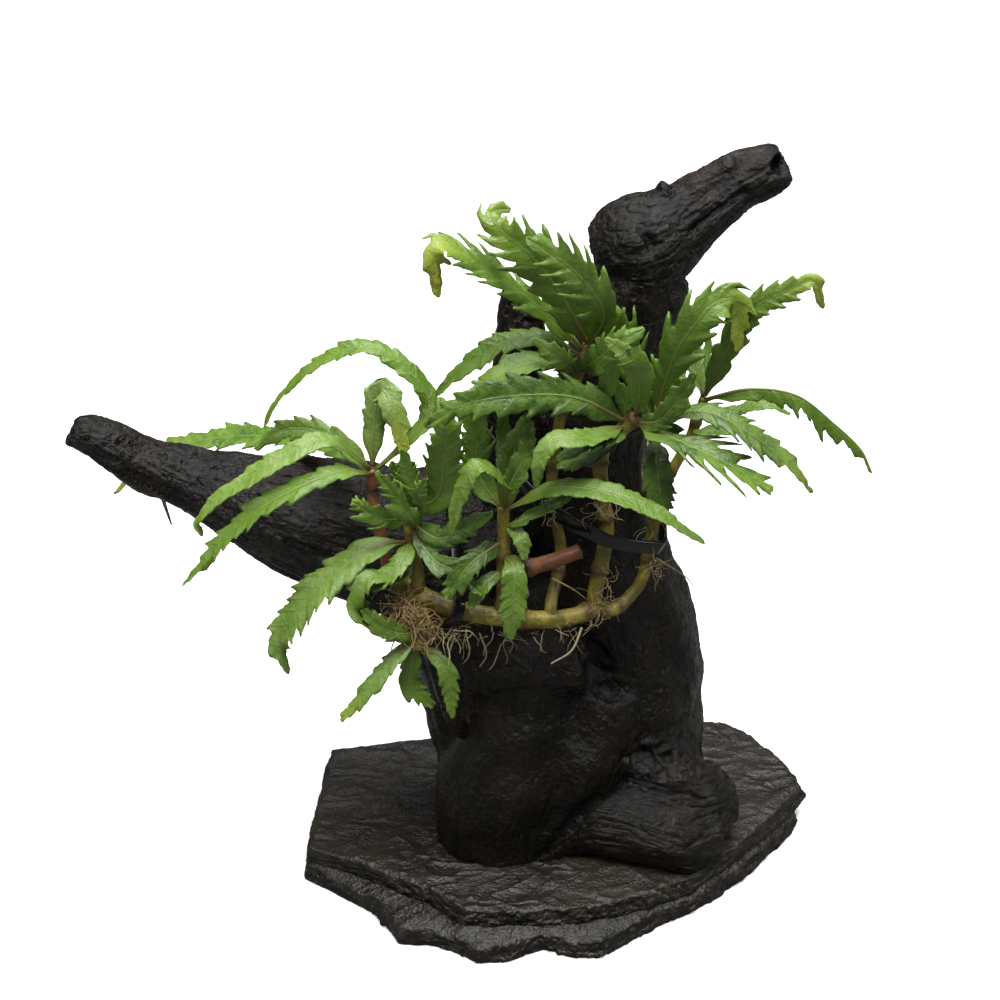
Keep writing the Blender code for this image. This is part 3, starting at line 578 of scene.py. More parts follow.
def mottle_group():
    """Blotches of a given size in metres, 0 to 1."""
    tree, given, out = group(
        "mottle",
        [
            ("Place", "NodeSocketVector", None), ("Size", "NodeSocketFloat", 0.01),
            ("Low", "NodeSocketFloat", 0.35), ("High", "NodeSocketFloat", 0.65),
        ],
        [("Mask", "NodeSocketFloat")],
    )
    scale = math_node(tree, "DIVIDE", 1.0, given.outputs["Size"])
    cloud = node(
        tree, "ShaderNodeTexNoise",
        {"Vector": given.outputs["Place"], "Scale": scale, "Detail": 4.0, "Roughness": 0.6},
    )
    mask = ramp(tree, cloud.outputs["Fac"], given.outputs["Low"], given.outputs["High"])
    tree.links.new(mask, out.inputs["Mask"])
    return tree


def relief_group():
    """Height of a rough surface: fibres along the first axis of Place, and fine pits."""
    tree, given, out = group(
        "relief",
        [
            ("Place", "NodeSocketVector", None), ("Stretch", "NodeSocketFloat", 0.15),
            ("Size", "NodeSocketFloat", 0.002), ("Pits", "NodeSocketFloat", 0.3),
        ],
        [("Height", "NodeSocketFloat")],
    )
    scale = math_node(tree, "DIVIDE", 1.0, given.outputs["Size"])
    squeeze = node(tree, "ShaderNodeCombineXYZ", {"X": given.outputs["Stretch"], "Y": 1.0, "Z": 1.0})
    along = node(
        tree, "ShaderNodeVectorMath", {0: given.outputs["Place"], 1: squeeze.outputs[0]}, operation="MULTIPLY"
    )
    fibres = node(
        tree, "ShaderNodeTexNoise",
        {"Vector": along.outputs[0], "Scale": scale, "Detail": 5.0, "Roughness": 0.65},
    )
    finer = math_node(tree, "MULTIPLY", scale, 1.4)
    inputs = {"Vector": given.outputs["Place"], "Scale": finer}
    pits = node(tree, "ShaderNodeTexVoronoi", inputs, feature="F1")
    part = math_node(tree, "MULTIPLY", pits.outputs["Distance"], given.outputs["Pits"])
    tree.links.new(math_node(tree, "ADD", fibres.outputs["Fac"], part), out.inputs["Height"])
    return tree


MOTTLE, RELIEF = mottle_group(), relief_group()


def mottle(tree, place, size, low=0.35, high=0.65):
    made = node(tree, "ShaderNodeGroup", node_tree=MOTTLE)
    for label, value in (("Place", place), ("Size", size), ("Low", low), ("High", high)):
        if isinstance(value, bpy.types.NodeSocket):
            tree.links.new(value, made.inputs[label])
        else:
            made.inputs[label].default_value = value
    return made.outputs["Mask"]


def relief(tree, place, stretch, size, pits):
    made = node(tree, "ShaderNodeGroup", node_tree=RELIEF)
    tree.links.new(place, made.inputs["Place"])
    for label, value in (("Stretch", stretch), ("Size", size), ("Pits", pits)):
        made.inputs[label].default_value = value
    return made.outputs["Height"]


def finish(name):
    """A new material: (material, its tree, its shader)."""
    made = bpy.data.materials.new(name)
    made.use_nodes = True
    return made, made.node_tree, made.node_tree.nodes["Principled BSDF"]


def roughness_between(tree, mask, low, high):
    made = node(tree, "ShaderNodeMapRange", {"Value": mask, "To Min": low, "To Max": high})
    return made.outputs[0]


def bump(tree, height, distance, strength=1.0, under=None):
    inputs = {"Height": height, "Distance": distance, "Strength": strength}
    if under:
        inputs["Normal"] = under
    return node(tree, "ShaderNodeBump", inputs).outputs[0]


def wood_finish():
    """Wet bog wood: near-black, browner where it is worn, with painted shade in its cracks and hollows."""
    made, tree, shader = finish("driftwood")
    grain, place = attribute(tree, "grain", "Vector"), object_place(tree)
    fibre = relief(tree, grain, 0.12, 0.0016, 0.0)
    pores = relief(tree, place, 1.0, 0.0022, 0.5)
    colour = blend(tree, ramp(tree, fibre, 0.35, 0.75), (0.0020, 0.0015, 0.0009), (0.0110, 0.0082, 0.0048))
    colour = blend(tree, mottle(tree, place, 0.022, 0.45, 0.75), colour, (0.019, 0.0110, 0.0058))
    colour = blend(tree, attribute(tree, "worn"), colour, (0.032, 0.019, 0.010))
    # painted shade: the colour goes near-black in the cracks and hollows, where shade falls
    colour = blend(tree, attribute(tree, "hollow"), colour, (0.002, 0.0018, 0.0016))
    tree.links.new(colour, shader.inputs["Base Color"])
    patches = mottle(tree, place, 0.012, 0.4, 0.7)
    dry = math_node(tree, "SUBTRACT", patches, attribute(tree, "wet"), clamp=True)
    tree.links.new(roughness_between(tree, dry, 0.16, 0.46), shader.inputs["Roughness"])
    shader.inputs["Specular IOR Level"].default_value = 0.30
    normal = bump(tree, fibre, 0.0011, 1.0, bump(tree, pores, 0.0008, 0.9))
    tree.links.new(normal, shader.inputs["Normal"])
    return made


def slate_finish():
    """Wet slate: brown-grey cleft face, lighter and rougher on the broken edge, where small bright specks are
    painted glints.
    """
    made, tree, shader = finish("slate")
    place = object_place(tree)
    edge = attribute(tree, "edge")
    colour = blend(tree, mottle(tree, place, 0.03), (0.010, 0.0082, 0.0056), (0.022, 0.0172, 0.0112))
    colour = blend(tree, mottle(tree, place, 0.004, 0.5, 0.8), colour, (0.034, 0.025, 0.015))
    chips = mottle(tree, place, 0.003, 0.4, 0.65)
    broken = blend(tree, chips, (0.0035, 0.0028, 0.0018), (0.026, 0.020, 0.012))
    # painted glints: small pale specks on the broken edge, painted into its colour
    painted_glints = mottle(tree, place, 0.0013, 0.62, 0.72)
    broken = blend(tree, painted_glints, broken, (0.095, 0.075, 0.050))
    colour = blend(tree, edge, colour, broken)
    tree.links.new(colour, shader.inputs["Base Color"])
    wet = mottle(tree, place, 0.018)
    tree.links.new(roughness_between(tree, wet, 0.22, 0.45), shader.inputs["Roughness"])
    shader.inputs["Specular IOR Level"].default_value = 0.5
    cleft = relief(tree, place, 0.7, 0.0045, 0.15)
    grit = relief(tree, place, 1.0, 0.0012, 0.6)
    tree.links.new(bump(tree, cleft, 0.0012, 0.7, bump(tree, grit, 0.0005, 0.7)), shader.inputs["Normal"])
    return made


def leaf_finish():
    """Leaf green by age and tone, with a paler midrib and side veins."""
    made, tree, shader = finish("leaf")
    place = object_place(tree)
    tone, age, vein, rib = (attribute(tree, name) for name in ("tone", "age", "vein", "rib"))
    clouds = mottle(tree, place, 0.006, 0.3, 0.7)
    patchy = math_node(tree, "MULTIPLY", math_node(tree, "SUBTRACT", clouds, 0.5), 0.40)
    shade = math_node(tree, "ADD", tone, patchy)
    colour = blend(tree, ramp(tree, shade, 0.0, 0.5), (0.034, 0.084, 0.009), (0.132, 0.245, 0.021))
    colour = blend(tree, ramp(tree, shade, 0.5, 1.0), colour, (0.230, 0.345, 0.080))
    speckle = mottle(tree, place, 0.0009, 0.45, 0.75)
    colour = blend(tree, math_node(tree, "MULTIPLY", speckle, 0.35), colour, (0.095, 0.170, 0.018))
    colour = blend(tree, math_node(tree, "MULTIPLY", vein, 0.22), colour, (0.170, 0.260, 0.075))
    colour = blend(tree, rib, colour, (0.230, 0.300, 0.080))
    colour = blend(tree, attribute(tree, "blush"), colour, (0.200, 0.075, 0.030))
    colour = blend(tree, age, colour, (0.420, 0.500, 0.050))
    brown = math_node(tree, "MULTIPLY", ramp(tree, age, 0.75, 1.0), mottle(tree, place, 0.003, 0.5, 0.6))
    colour = blend(tree, math_node(tree, "MULTIPLY", brown, 0.6), colour, (0.200, 0.110, 0.030))
    tree.links.new(colour, shader.inputs["Base Color"])
    tree.links.new(roughness_between(tree, clouds, 0.28, 0.46), shader.inputs["Roughness"])
    shader.inputs["Specular IOR Level"].default_value = 0.5
    shader.inputs["Subsurface Weight"].default_value = 0.0
    skin = relief(tree, place, 1.0, 0.0014, 0.4)
    tree.links.new(bump(tree, vein, 0.0003, 0.5, bump(tree, skin, 0.0003, 0.8)), shader.inputs["Normal"])
    return made


def stem_finish(name, colours, gloss):
    """Round stems: a blotched green or brown skin with darker joints and fine lines along them."""
    made, tree, shader = finish(name)
    place = object_place(tree)
    lower, upper, joint_colour = colours
    colour = blend(tree, mottle(tree, place, 0.006, 0.40, 0.62), lower, upper)
    colour = blend(tree, math_node(tree, "MULTIPLY", attribute(tree, "joint"), 0.8), colour, joint_colour)
    colour = blend(tree, mottle(tree, place, 0.0016, 0.55, 0.8), colour, joint_colour)
    tree.links.new(colour, shader.inputs["Base Color"])
    dull = mottle(tree, place, 0.005)
    tree.links.new(roughness_between(tree, dull, gloss, gloss + 0.15), shader.inputs["Roughness"])
    fibres = relief(tree, place, 1.0, 0.0011, 0.3)
    tree.links.new(bump(tree, fibres, 0.0003, 0.6), shader.inputs["Normal"])
    return made


def band_finish():
    made, tree, shader = finish("band")
    place = object_place(tree)
    scuff = mottle(tree, place, 0.004, 0.45, 0.8)
    colour = blend(tree, scuff, (0.004, 0.004, 0.005), (0.012, 0.012, 0.013))
    tree.links.new(colour, shader.inputs["Base Color"])
    tree.links.new(roughness_between(tree, scuff, 0.14, 0.32), shader.inputs["Roughness"])
    tree.links.new(bump(tree, relief(tree, place, 1.0, 0.002, 0.2), 0.0001, 0.5), shader.inputs["Normal"])
    return made


def root_finish():
    """Fine roots, from whitish to golden brown by each strand's own value."""
    made, tree, shader = finish("root")
    colour = blend(tree, attribute(tree, "tan"), (0.52, 0.47, 0.31), (0.34, 0.21, 0.050))
    colour = blend(tree, mottle(tree, object_place(tree), 0.002, 0.5, 0.8), colour, (0.20, 0.11, 0.04))
    tree.links.new(colour, shader.inputs["Base Color"])
    shader.inputs["Roughness"].default_value = 0.45
    return made


# ---- driftwood ----
def limb_bar(name, rows):
    data = bpy.data.curves.new(name, "CURVE")
    data.dimensions = "3D"
    data.bevel_depth = MM
    data.bevel_resolution = 3
    data.use_fill_caps = True
    spline = data.splines.new("POLY")
    spline.points.add(len(rows) - 1)
    for point, (x, y, z, radius) in zip(spline.points, rows):
        point.co = (x * MM, y * MM, z * MM, 1.0)
        point.radius = radius
    return helper(name, data)


def points_and_normals(mesh):
    points, normals = (np.empty(len(mesh.vertices) * 3) for _ in range(2))
    mesh.vertices.foreach_get("co", points)
    mesh.vertex_normals.foreach_get("vector", normals)
    return points.reshape(-1, 3), normals.reshape(-1, 3)


def wood_skin():
    """One fine skin over all limbs, as points, quads and outward directions."""
    shape = bmesh.new()
    for name, rows in LIMBS.items():
        bar = limb_bar(name, rows)
        mesh = evaluated_mesh(bar)
        shape.from_mesh(mesh)
        bpy.data.meshes.remove(mesh)
        remove(bar)
    bmesh.ops.remove_doubles(shape, verts=shape.verts, dist=1e-6)
    mesh = bpy.data.meshes.new("wood")
    shape.to_mesh(mesh)
    shape.free()
    wood = helper("wood", mesh)
    skin = wood.modifiers.new("skin", "REMESH")
    skin.mode = "VOXEL"
    skin.voxel_size = WOOD_VOXEL * MM
    even = wood.modifiers.new("even", "SMOOTH")
    even.iterations = WOOD_SMOOTHING
    wood.data = evaluated_mesh(wood)
    wood.modifiers.clear()
    points, normals = points_and_normals(wood.data)
    lump = np.array([solid_noise.noise(Vector(point)) for point in points / (WOOD_LUMP_SIZE * MM)])
    points += normals * ((WOOD_SWELL + lump * WOOD_LUMP) * MM)[:, None]
    wood.data.vertices.foreach_set("co", points.ravel())
    wood.data.update()
    finer = wood.modifiers.new("finer", "SUBSURF")
    finer.levels = finer.render_levels = 1
    mesh = evaluated_mesh(wood)
    points, normals = points_and_normals(mesh)
    quads = np.empty(len(mesh.loops), int)
    mesh.loops.foreach_get("vertex_index", quads)
    remove(wood)
    return points, quads.reshape(-1, 4), normals


ARMS = ("left_arm", "upper_arm", "arm_knuckle", "arm_neck", "stub", "stub_fork")
ROOTS = ("right_root", "root_ridge")
GRAIN_OF = {  # limbs whose grain follows another limb
    "arm_knuckle": "upper_arm", "arm_neck": "upper_arm", "stub_fork": "stub", "front_ledge": "front_lobe",
    "front_slope": "front_lobe", "root_ridge": "right_root", "shoulder": "trunk_right",
}


def grain_places(points):
    """Where each point is along and across its nearest limb, in metres, and how sure that limb is."""
    scores, places = [], []
    for name, rows in LIMBS.items():
        line = rows_of(rows)
        lengths = np.r_[0, np.cumsum(np.linalg.norm(np.diff(line, axis=0), axis=1))]
        gap, at = line_distance(points, line)
        radius = np.interp(at * lengths[-1], lengths, [row[3] * MM for row in rows])
        scores.append(gap - radius)
        if name in GRAIN_OF:
            line = rows_of(LIMBS[GRAIN_OF[name]])
            lengths = np.r_[0, np.cumsum(np.linalg.norm(np.diff(line, axis=0), axis=1))]
            at = line_distance(points, line)[1]
        _, right, over = carried_frames(line)
        foot, side, up = (
            np.stack([np.interp(at * lengths[-1], lengths, axis) for axis in rows3.T], axis=1)
            for rows3 in (line, right, over)
        )
        off = points - foot
        places.append(np.stack([at * lengths[-1], (off * side).sum(1), (off * up).sum(1)], axis=1))
    order = np.argsort(scores, axis=0)[:2]
    index = np.arange(len(points))
    scores, places = np.array(scores), np.array(places)
    first, second = (places[order[k], index] for k in (0, 1))
    share = np.exp(-(scores[order[1], index] - scores[order[0], index]) / (4 * MM))
    share = share / (1 + share)
    return first, second, share, order[0]


def fibre_height(place):
    """Raised wood fibres and the cracks between them, in millimetres."""
    stretched = place * [0.10, 1.0, 1.0] / MM
    coarse = grain_noise(stretched / 4.5, 3) * 0.55
    medium = ridges(stretched / 2.2, 5) ** 2 * 0.45
    fine = grain_noise(stretched / 1.1, 9) * 0.22
    split = -0.9 * np.clip(ridges(place * [0.05, 1.0, 1.0] / MM / 5.0, 21) - 0.93, 0, 1) / 0.07
    return coarse + medium + fine + split


def weathered(points, normals):
    """The skin with its lumps, fibres, cracks, hollows and knobs, and the values that its finish reads,
    painted shade in the cracks and hollows among them.
    """
    first, second, share, limb = grain_places(points)
    fibres = fibre_height(first) * (1 - share) + fibre_height(second) * share
    names = list(LIMBS)
    arms = np.isin(limb, [names.index(name) for name in ARMS])
    root = np.isin(limb, [names.index(name) for name in ROOTS])
    strength = np.where(arms, 1.15, np.where(root, 0.9, 0.34))
    lumps = rough_noise(points / (11 * MM), 3, 40) * np.where(arms, 0.35, 0.45)
    lumps += (ridges(points / (7 * MM), 44) ** 2 - 0.5) * np.where(arms, 0.12, np.where(root, 0.5, 0.22))
    pits = rough_noise(points / (2.4 * MM), 2, 60) * 0.16
    height = (fibres * strength + lumps + pits) * MM
    # painted shade: a mask for near-black colour, strongest where a crack is deep and narrow, and in the
    # cavity at the upper arm's tip
    hollow_shade = np.zeros(len(points))
    for half, depth, rows in HOLLOWS:
        wander = 1 + 0.35 * grain_noise(points / (3 * MM), 80)
        gap, _ = line_distance(points, smooth_path(rows_of(rows), 16))
        cut = np.exp(-((gap / (half * MM * wander)) ** 2))
        height -= cut * depth * MM
        hollow_shade = np.maximum(hollow_shade, cut * min(1.0, depth / (2.2 * half)))
    for radius, rise, middle in KNOBS:
        gap = np.linalg.norm(points - np.array(middle) * MM, axis=1)
        height += np.exp(-((gap / (radius * MM)) ** 2)) * rise * MM
    made = points + normals * height[:, None]
    mouth, way, radius, depth = TIP_HOLLOW
    way = unit(np.array(way))
    off = made - np.array(mouth) * MM
    deep = off @ way
    across = np.linalg.norm(off - deep[:, None] * way, axis=1)
    inside = np.clip(1 - across / (radius * MM), 0, 1) * (deep > -7 * MM)
    sink = np.clip(inside * 2.2, 0, 1)
    made -= way * (sink * depth * MM)[:, None]
    hollow_shade = np.maximum(hollow_shade, sink)
    made[:, 2] = np.maximum(made[:, 2], WOOD_FOOT * MM)
    from_toe = np.linalg.norm((made / MM - TOE[0]) / TOE[1], axis=1)
    streaks = np.clip(grain_noise(first * [0.15, 1, 1] / (1.3 * MM), 90) + 0.25, 0, 1)
    worn = np.clip((1 - from_toe) * 1.6, 0, 1) * streaks
    grain = np.where((share < 0.5)[:, None], first, second)
    wet = 0.7 * np.clip((0.060 - made[:, 2]) / 0.025, 0, 1)
    return made, grain, hollow_shade, worn, wet


def inside_box(points, middle, size, turn):
    angle = math.radians(turn)
    off = points - np.array(middle) * MM
    x = off[:, 0] * math.cos(angle) - off[:, 2] * math.sin(angle)
    z = off[:, 0] * math.sin(angle) + off[:, 2] * math.cos(angle)
    return np.all(np.abs([x, off[:, 1], z]).T < np.array(size) / 2 * MM, axis=1)


def closed_part(points, quads):
    """The points and faces of these quads alone, with each open rim closed by a fan."""
    used, index = np.unique(quads, return_inverse=True)
    quads = index.reshape(-1, 4)
    ends = np.concatenate([quads[:, [k, (k + 1) % 4]] for k in range(4)])
    keys = {(int(a), int(b)) for a, b in ends}
    after = {}
    for a, b in keys:
        if (b, a) not in keys:
            after.setdefault(b, []).append(a)
    faces = [tuple(face) for face in quads.tolist()]
    middles = []
    while after:
        start = next(iter(after))
        loop, at = [start], after[start].pop()
        while at != start and at in after and after[at]:
            loop.append(at)
            at = after[at].pop()
        after = {key: value for key, value in after.items() if value}
        if len(loop) < 3:
            continue
        middle = len(used) + len(middles)
        middles.append((points[used[loop]].mean(axis=0), loop[0]))
        faces += [(a, b, middle) for a, b in zip(loop, loop[1:] + loop[:1])]
    return used, faces, middles


def build_wood(material):
    points, quads, normals = wood_skin()
    made, grain, hollow_shade, worn, wet = weathered(points, normals)
    middles = made[quads].mean(axis=1)
    owner = np.zeros(len(quads), int)
    for k, (middle, size, turn) in enumerate(FORKS.values(), 1):
        owner[(owner == 0) & inside_box(middles, middle, size, turn)] = k
    for k, name in enumerate([TRUNK, *FORKS]):
        used, faces, caps = closed_part(made, quads[owner == k])
        shape = Shape()
        pick = np.r_[used, [used[loop_start] for _, loop_start in caps]].astype(int)
        place = np.vstack([made[used], *[middle[None] for middle, _ in caps]])
        shape.add(place, faces, grain=grain[pick], hollow=hollow_shade[pick], worn=worn[pick], wet=wet[pick])
        if k == 0:
            for rows in TWIGS.values():
                path = smooth_path(rows_of(rows), TWIG_STEPS)
                share = np.linspace(0, 1, TWIG_STEPS)
                radii = np.interp(share, np.linspace(0, 1, len(rows)), [row[3] * MM for row in rows])
                at = np.linspace(0, 0.05, TWIG_STEPS)
                sweep(
                    shape, path, radii * (1 + 0.12 * grain_noise(path / (2 * MM), 5)), 10,
                    grain=np.stack([at, at * 0, at * 0], axis=1),
                    hollow=at * 0, worn=at * 0 + 0.25, wet=at * 0,
                )
        piece(name.replace("driftwood", "wood"), shape.mesh(name + "_skin", material), [name])


# ---- slate ----
SLATE_COLUMNS = 760
EDGE_ROWS = 17  # rows of points down the edge of each layer
EDGE_RUN = 62.0  # millimetres of edge to a radian, for the size of the chips


def rim_radius(outline, angles):
    """How far the outline is from the middle at each angle."""
    points = np.array(outline + outline[:1], float)
    reach = np.zeros(len(angles))
    for a, b in zip(points, points[1:]):
        way = np.stack([np.cos(angles), np.sin(angles)], axis=1)
        edge = b - a
        det = way[:, 0] * -edge[1] + edge[0] * way[:, 1]
        with np.errstate(divide="ignore", invalid="ignore"):
            t = (a[0] * -edge[1] + edge[0] * a[1]) / det
            s = (way[:, 0] * a[1] - way[:, 1] * a[0]) / det
        hit = (t > 0) & (s >= -1e-9) & (s <= 1 + 1e-9)
        reach = np.where(hit, np.maximum(reach, t), reach)
    return reach


def build_slate(material):
    """Thin layers whose broken edges stand out by different amounts, under one cleft face."""
    angles = np.linspace(0, 2 * np.pi, SLATE_COLUMNS, endpoint=False)
    upper, lower = rim_radius(UPPER_OUTLINE, angles), rim_radius(LOWER_OUTLINE, angles)
    way = np.stack([np.cos(angles), np.sin(angles)], axis=1)

    def ring(radius, height):
        return np.column_stack([way * radius[:, None], np.broadcast_to(height, len(angles))]) * MM

    def edge_noise(size, seed):
        at = np.column_stack([way * upper[:, None] / size, np.full(len(angles), seed * 3.7)])
        return grain_noise(at, seed)

    def chipped(rim, height, seed):
        """Flat chips of many sizes, each standing out and leaning by its own amount."""
        run = angles * EDGE_RUN
        out = np.zeros(len(angles))
        for size, step, depth in ((6.5, 3.2, 0.75), (2.6, 1.5, 0.40)):
            waver = grain_noise(np.column_stack([run / 9, run * 0, run * 0 + seed]), seed)
            band = np.round(height / step + 0.35 * waver)
            drift = grain_noise(np.column_stack([run / 5, height / 2 + run * 0, run * 0]), 3)
            cell = np.floor(run / size + 0.5 * drift + band * 0.37)
            dice = np.sin(cell * 12.9898 + band * 78.233 + seed) * 43758.5453
            lean = np.sin(cell * 39.346 + band * 11.135 + seed) * 24634.6345
            offset, tilt = dice - np.floor(dice) - 0.5, lean - np.floor(lean) - 0.5
            across = run / size - np.floor(run / size) - 0.5
            out += depth * (1.4 * offset + 1.2 * tilt * across)
        return rim + out

    rings, edge = [], []
    top = chipped(upper - 1.0, 12.0, 5) * 0.5 + (upper - 1.0) * 0.5 + 0.35 * edge_noise(5, 1)
    for share in np.r_[np.linspace(0.12, 0.45, 14), np.linspace(0.46, 0.985, 92)]:
        flat = way * (top * share)[:, None]
        at = flat / [1.35, 0.8]
        spot = np.column_stack([at, np.zeros(len(angles))])
        warp = grain_noise(spot / 14, 12)[:, None] * 5
        cleft = ridges((spot + warp) / 9, 14) ** 3 * 0.75 + grain_noise((spot + warp) / 4.2, 15) * 0.28
        cleft += grain_noise(spot / 24, 16) * 0.6 + grain_noise(spot / 1.7, 18) * 0.09
        settle = np.clip((1 - share) / 0.03, 0, 1)
        rings.append(ring(top * share, SLATE_TOP - 0.5 + cleft * (0.35 + 0.65 * settle) * 1.05))
        edge.append(np.full(len(angles), 0.0))
    heights = np.r_[
        np.linspace(SLATE_TOP - 0.7, SLATE_STEP + 0.25, EDGE_ROWS),
        np.linspace(SLATE_STEP - 0.05, 0.0, EDGE_ROWS),
    ]
    sag = 0.5 * edge_noise(9, 60)
    for height in heights:
        above = height > SLATE_STEP
        rim, foot = (upper, SLATE_STEP) if above else (lower, 0.0)
        depth = (foot + SLATE_STEP - height) / SLATE_STEP
        worn_lip = 0.9 * np.clip(0.12 - depth, 0, 1) / 0.12 + 0.5 * np.clip(depth - 0.85, 0, 1) / 0.15
        lean = -1.3 + 1.5 * depth - worn_lip
        out = chipped(rim + lean, height + sag, 5 if above else 9) + 0.18 * edge_noise(1.0, int(height * 40))
        bed = sag * np.clip(1 - abs(height - SLATE_STEP) / 4, 0, 1)
        bed += 0.12 * edge_noise(1.4, int(height * 20) + 3)
        rings.append(ring(np.minimum(out, rim + 0.6), np.maximum(height + bed, 0.0) if height > 0 else 0.0))
        edge.append(np.full(len(angles), 1.0 if depth > 0.1 or not above else 0.5))
    points = np.vstack(rings)
    faces = [tuple(face) for face in grid_faces(len(rings), len(angles), closed=True, flip=True).tolist()]
    count = len(points)
    points = np.vstack([points, [[0, 0, (SLATE_TOP - 0.4) * MM], [0, 0, 0]]])
    edge = np.r_[np.concatenate(edge), 0, 1]
    last = count - len(angles)
    for j in range(len(angles)):
        after = (j + 1) % len(angles)
        faces.append((j, after, count))
        faces.append((last + after, last + j, count + 1))
    shape = Shape()
    shape.add(points, faces, edge=edge)
    mesh = shape.mesh("slate_plate", material)
    face_outward(mesh)
    piece("slate_plate", mesh, ["slate_base"])


# ---- stems ----
STEM_COLOURS = {
    "stem": ((0.150, 0.130, 0.014), (0.370, 0.290, 0.042), (0.095, 0.042, 0.013)),
    "old_stem": ((0.170, 0.058, 0.022), (0.300, 0.125, 0.055), (0.070, 0.030, 0.014)),
}
GREEN_GIRTH = 0.90  # of a green stem between its joints, as a share of its solid's
JOINT_SPACING = 17.0  # between two leaf joints on a stem
STEM_REACH = 9.0  # how far from another stem a shoot can start and still grow from it


def stem_line(name, count=101):
    return smooth_path(rows_of(STEMS[name][1]), count)


def joined_foot(name):
    """The point inside the nearest other stem that this one grows from, as a row, if one is near."""
    foot = np.array(STEMS[name][1][0], float) * MM
    others = np.vstack([stem_line(other) for other in STEMS if other != name])
    gaps = np.linalg.norm(others - foot, axis=1)
    if name == "rhizome" or gaps.min() > STEM_REACH * MM:
        return []
    return [tuple(others[gaps.argmin()] / MM)]


def build_stems(materials):
    for order, (name, (radius, rows)) in enumerate(STEMS.items()):
        rows = [*joined_foot(name), *rows]
        line = smooth_path(rows_of(rows), 41)
        length = np.linalg.norm(np.diff(line, axis=0), axis=1).sum()
        count = int(length / (0.45 * MM))
        path = smooth_path(rows_of(rows), count)
        at = np.linspace(0, length / MM, count)
        spacing = JOINT_SPACING * (1.15 if name == "rhizome" else 1.0)
        phase = (at + 0.45 * spacing + 3 * order) % spacing - spacing / 2
        joint = np.exp(-((phase / 1.5) ** 2))
        scar = np.exp(-(((np.abs(phase) - 0.8) / 0.35) ** 2))
        swell = 1 + 0.28 * joint - 0.06 * scar + 0.03 * grain_noise(path / (3 * MM), order)
        taper = 1 - 0.12 * at / at[-1]
        path = path + carried_frames(path)[1] * (0.15 * MM * grain_noise(path / (5 * MM), 9 + order))[:, None]
        shape = Shape()
        girth = radius * (1.0 if name in RED_STEMS else GREEN_GIRTH) * MM * swell * taper
        sweep(shape, path, girth, 20, joint=np.clip(joint + 0.5 * scar, 0, 1))
        slot = "old_stem" if name in RED_STEMS else "stem"
        piece(name.replace("stem_", "shoot_"), shape.mesh(name + "_bark", materials[slot]), [name])


# ---- leaves ----
LEAF_THICKNESS = 0.34
PETIOLE_HALF = 0.6
TOOTH_SPACING = 5.2
ACROSS = 6  # points from the midrib to the margin


def leaf_body(t, width):
    """Half the width of the blade without its lobes."""
    body = np.sin(np.pi * np.minimum(1.0, np.maximum(t, 0) ** 0.85 * 0.97 + 0.03)) ** 0.75
    body = body * (1 - 0.20 * np.clip((t - 0.6) / 0.4, 0, 1))
    return PETIOLE_HALF + (width / 2 - PETIOLE_HALF) * body * np.minimum(1.0, np.maximum(t, 0) / 0.18) ** 1.3


def leaf_frames(path, facing):
    """Tangents, sideways and upward directions along a leaf, without sudden turns."""
    along = unit(np.gradient(path, axis=0))
    side = np.cross(along, facing)
    for i in range(1, len(side)):
        if side[i] @ side[i - 1] < 0:
            side[i] = -side[i]
    for _ in range(30):
        side[1:-1] = (side[:-2] + side[1:-1] * 2 + side[2:]) / 4
    side = unit(side - along * (side * along).sum(1, keepdims=True))
    return along, side, np.cross(side, along)


def first_of(pair):
    return pair[0]


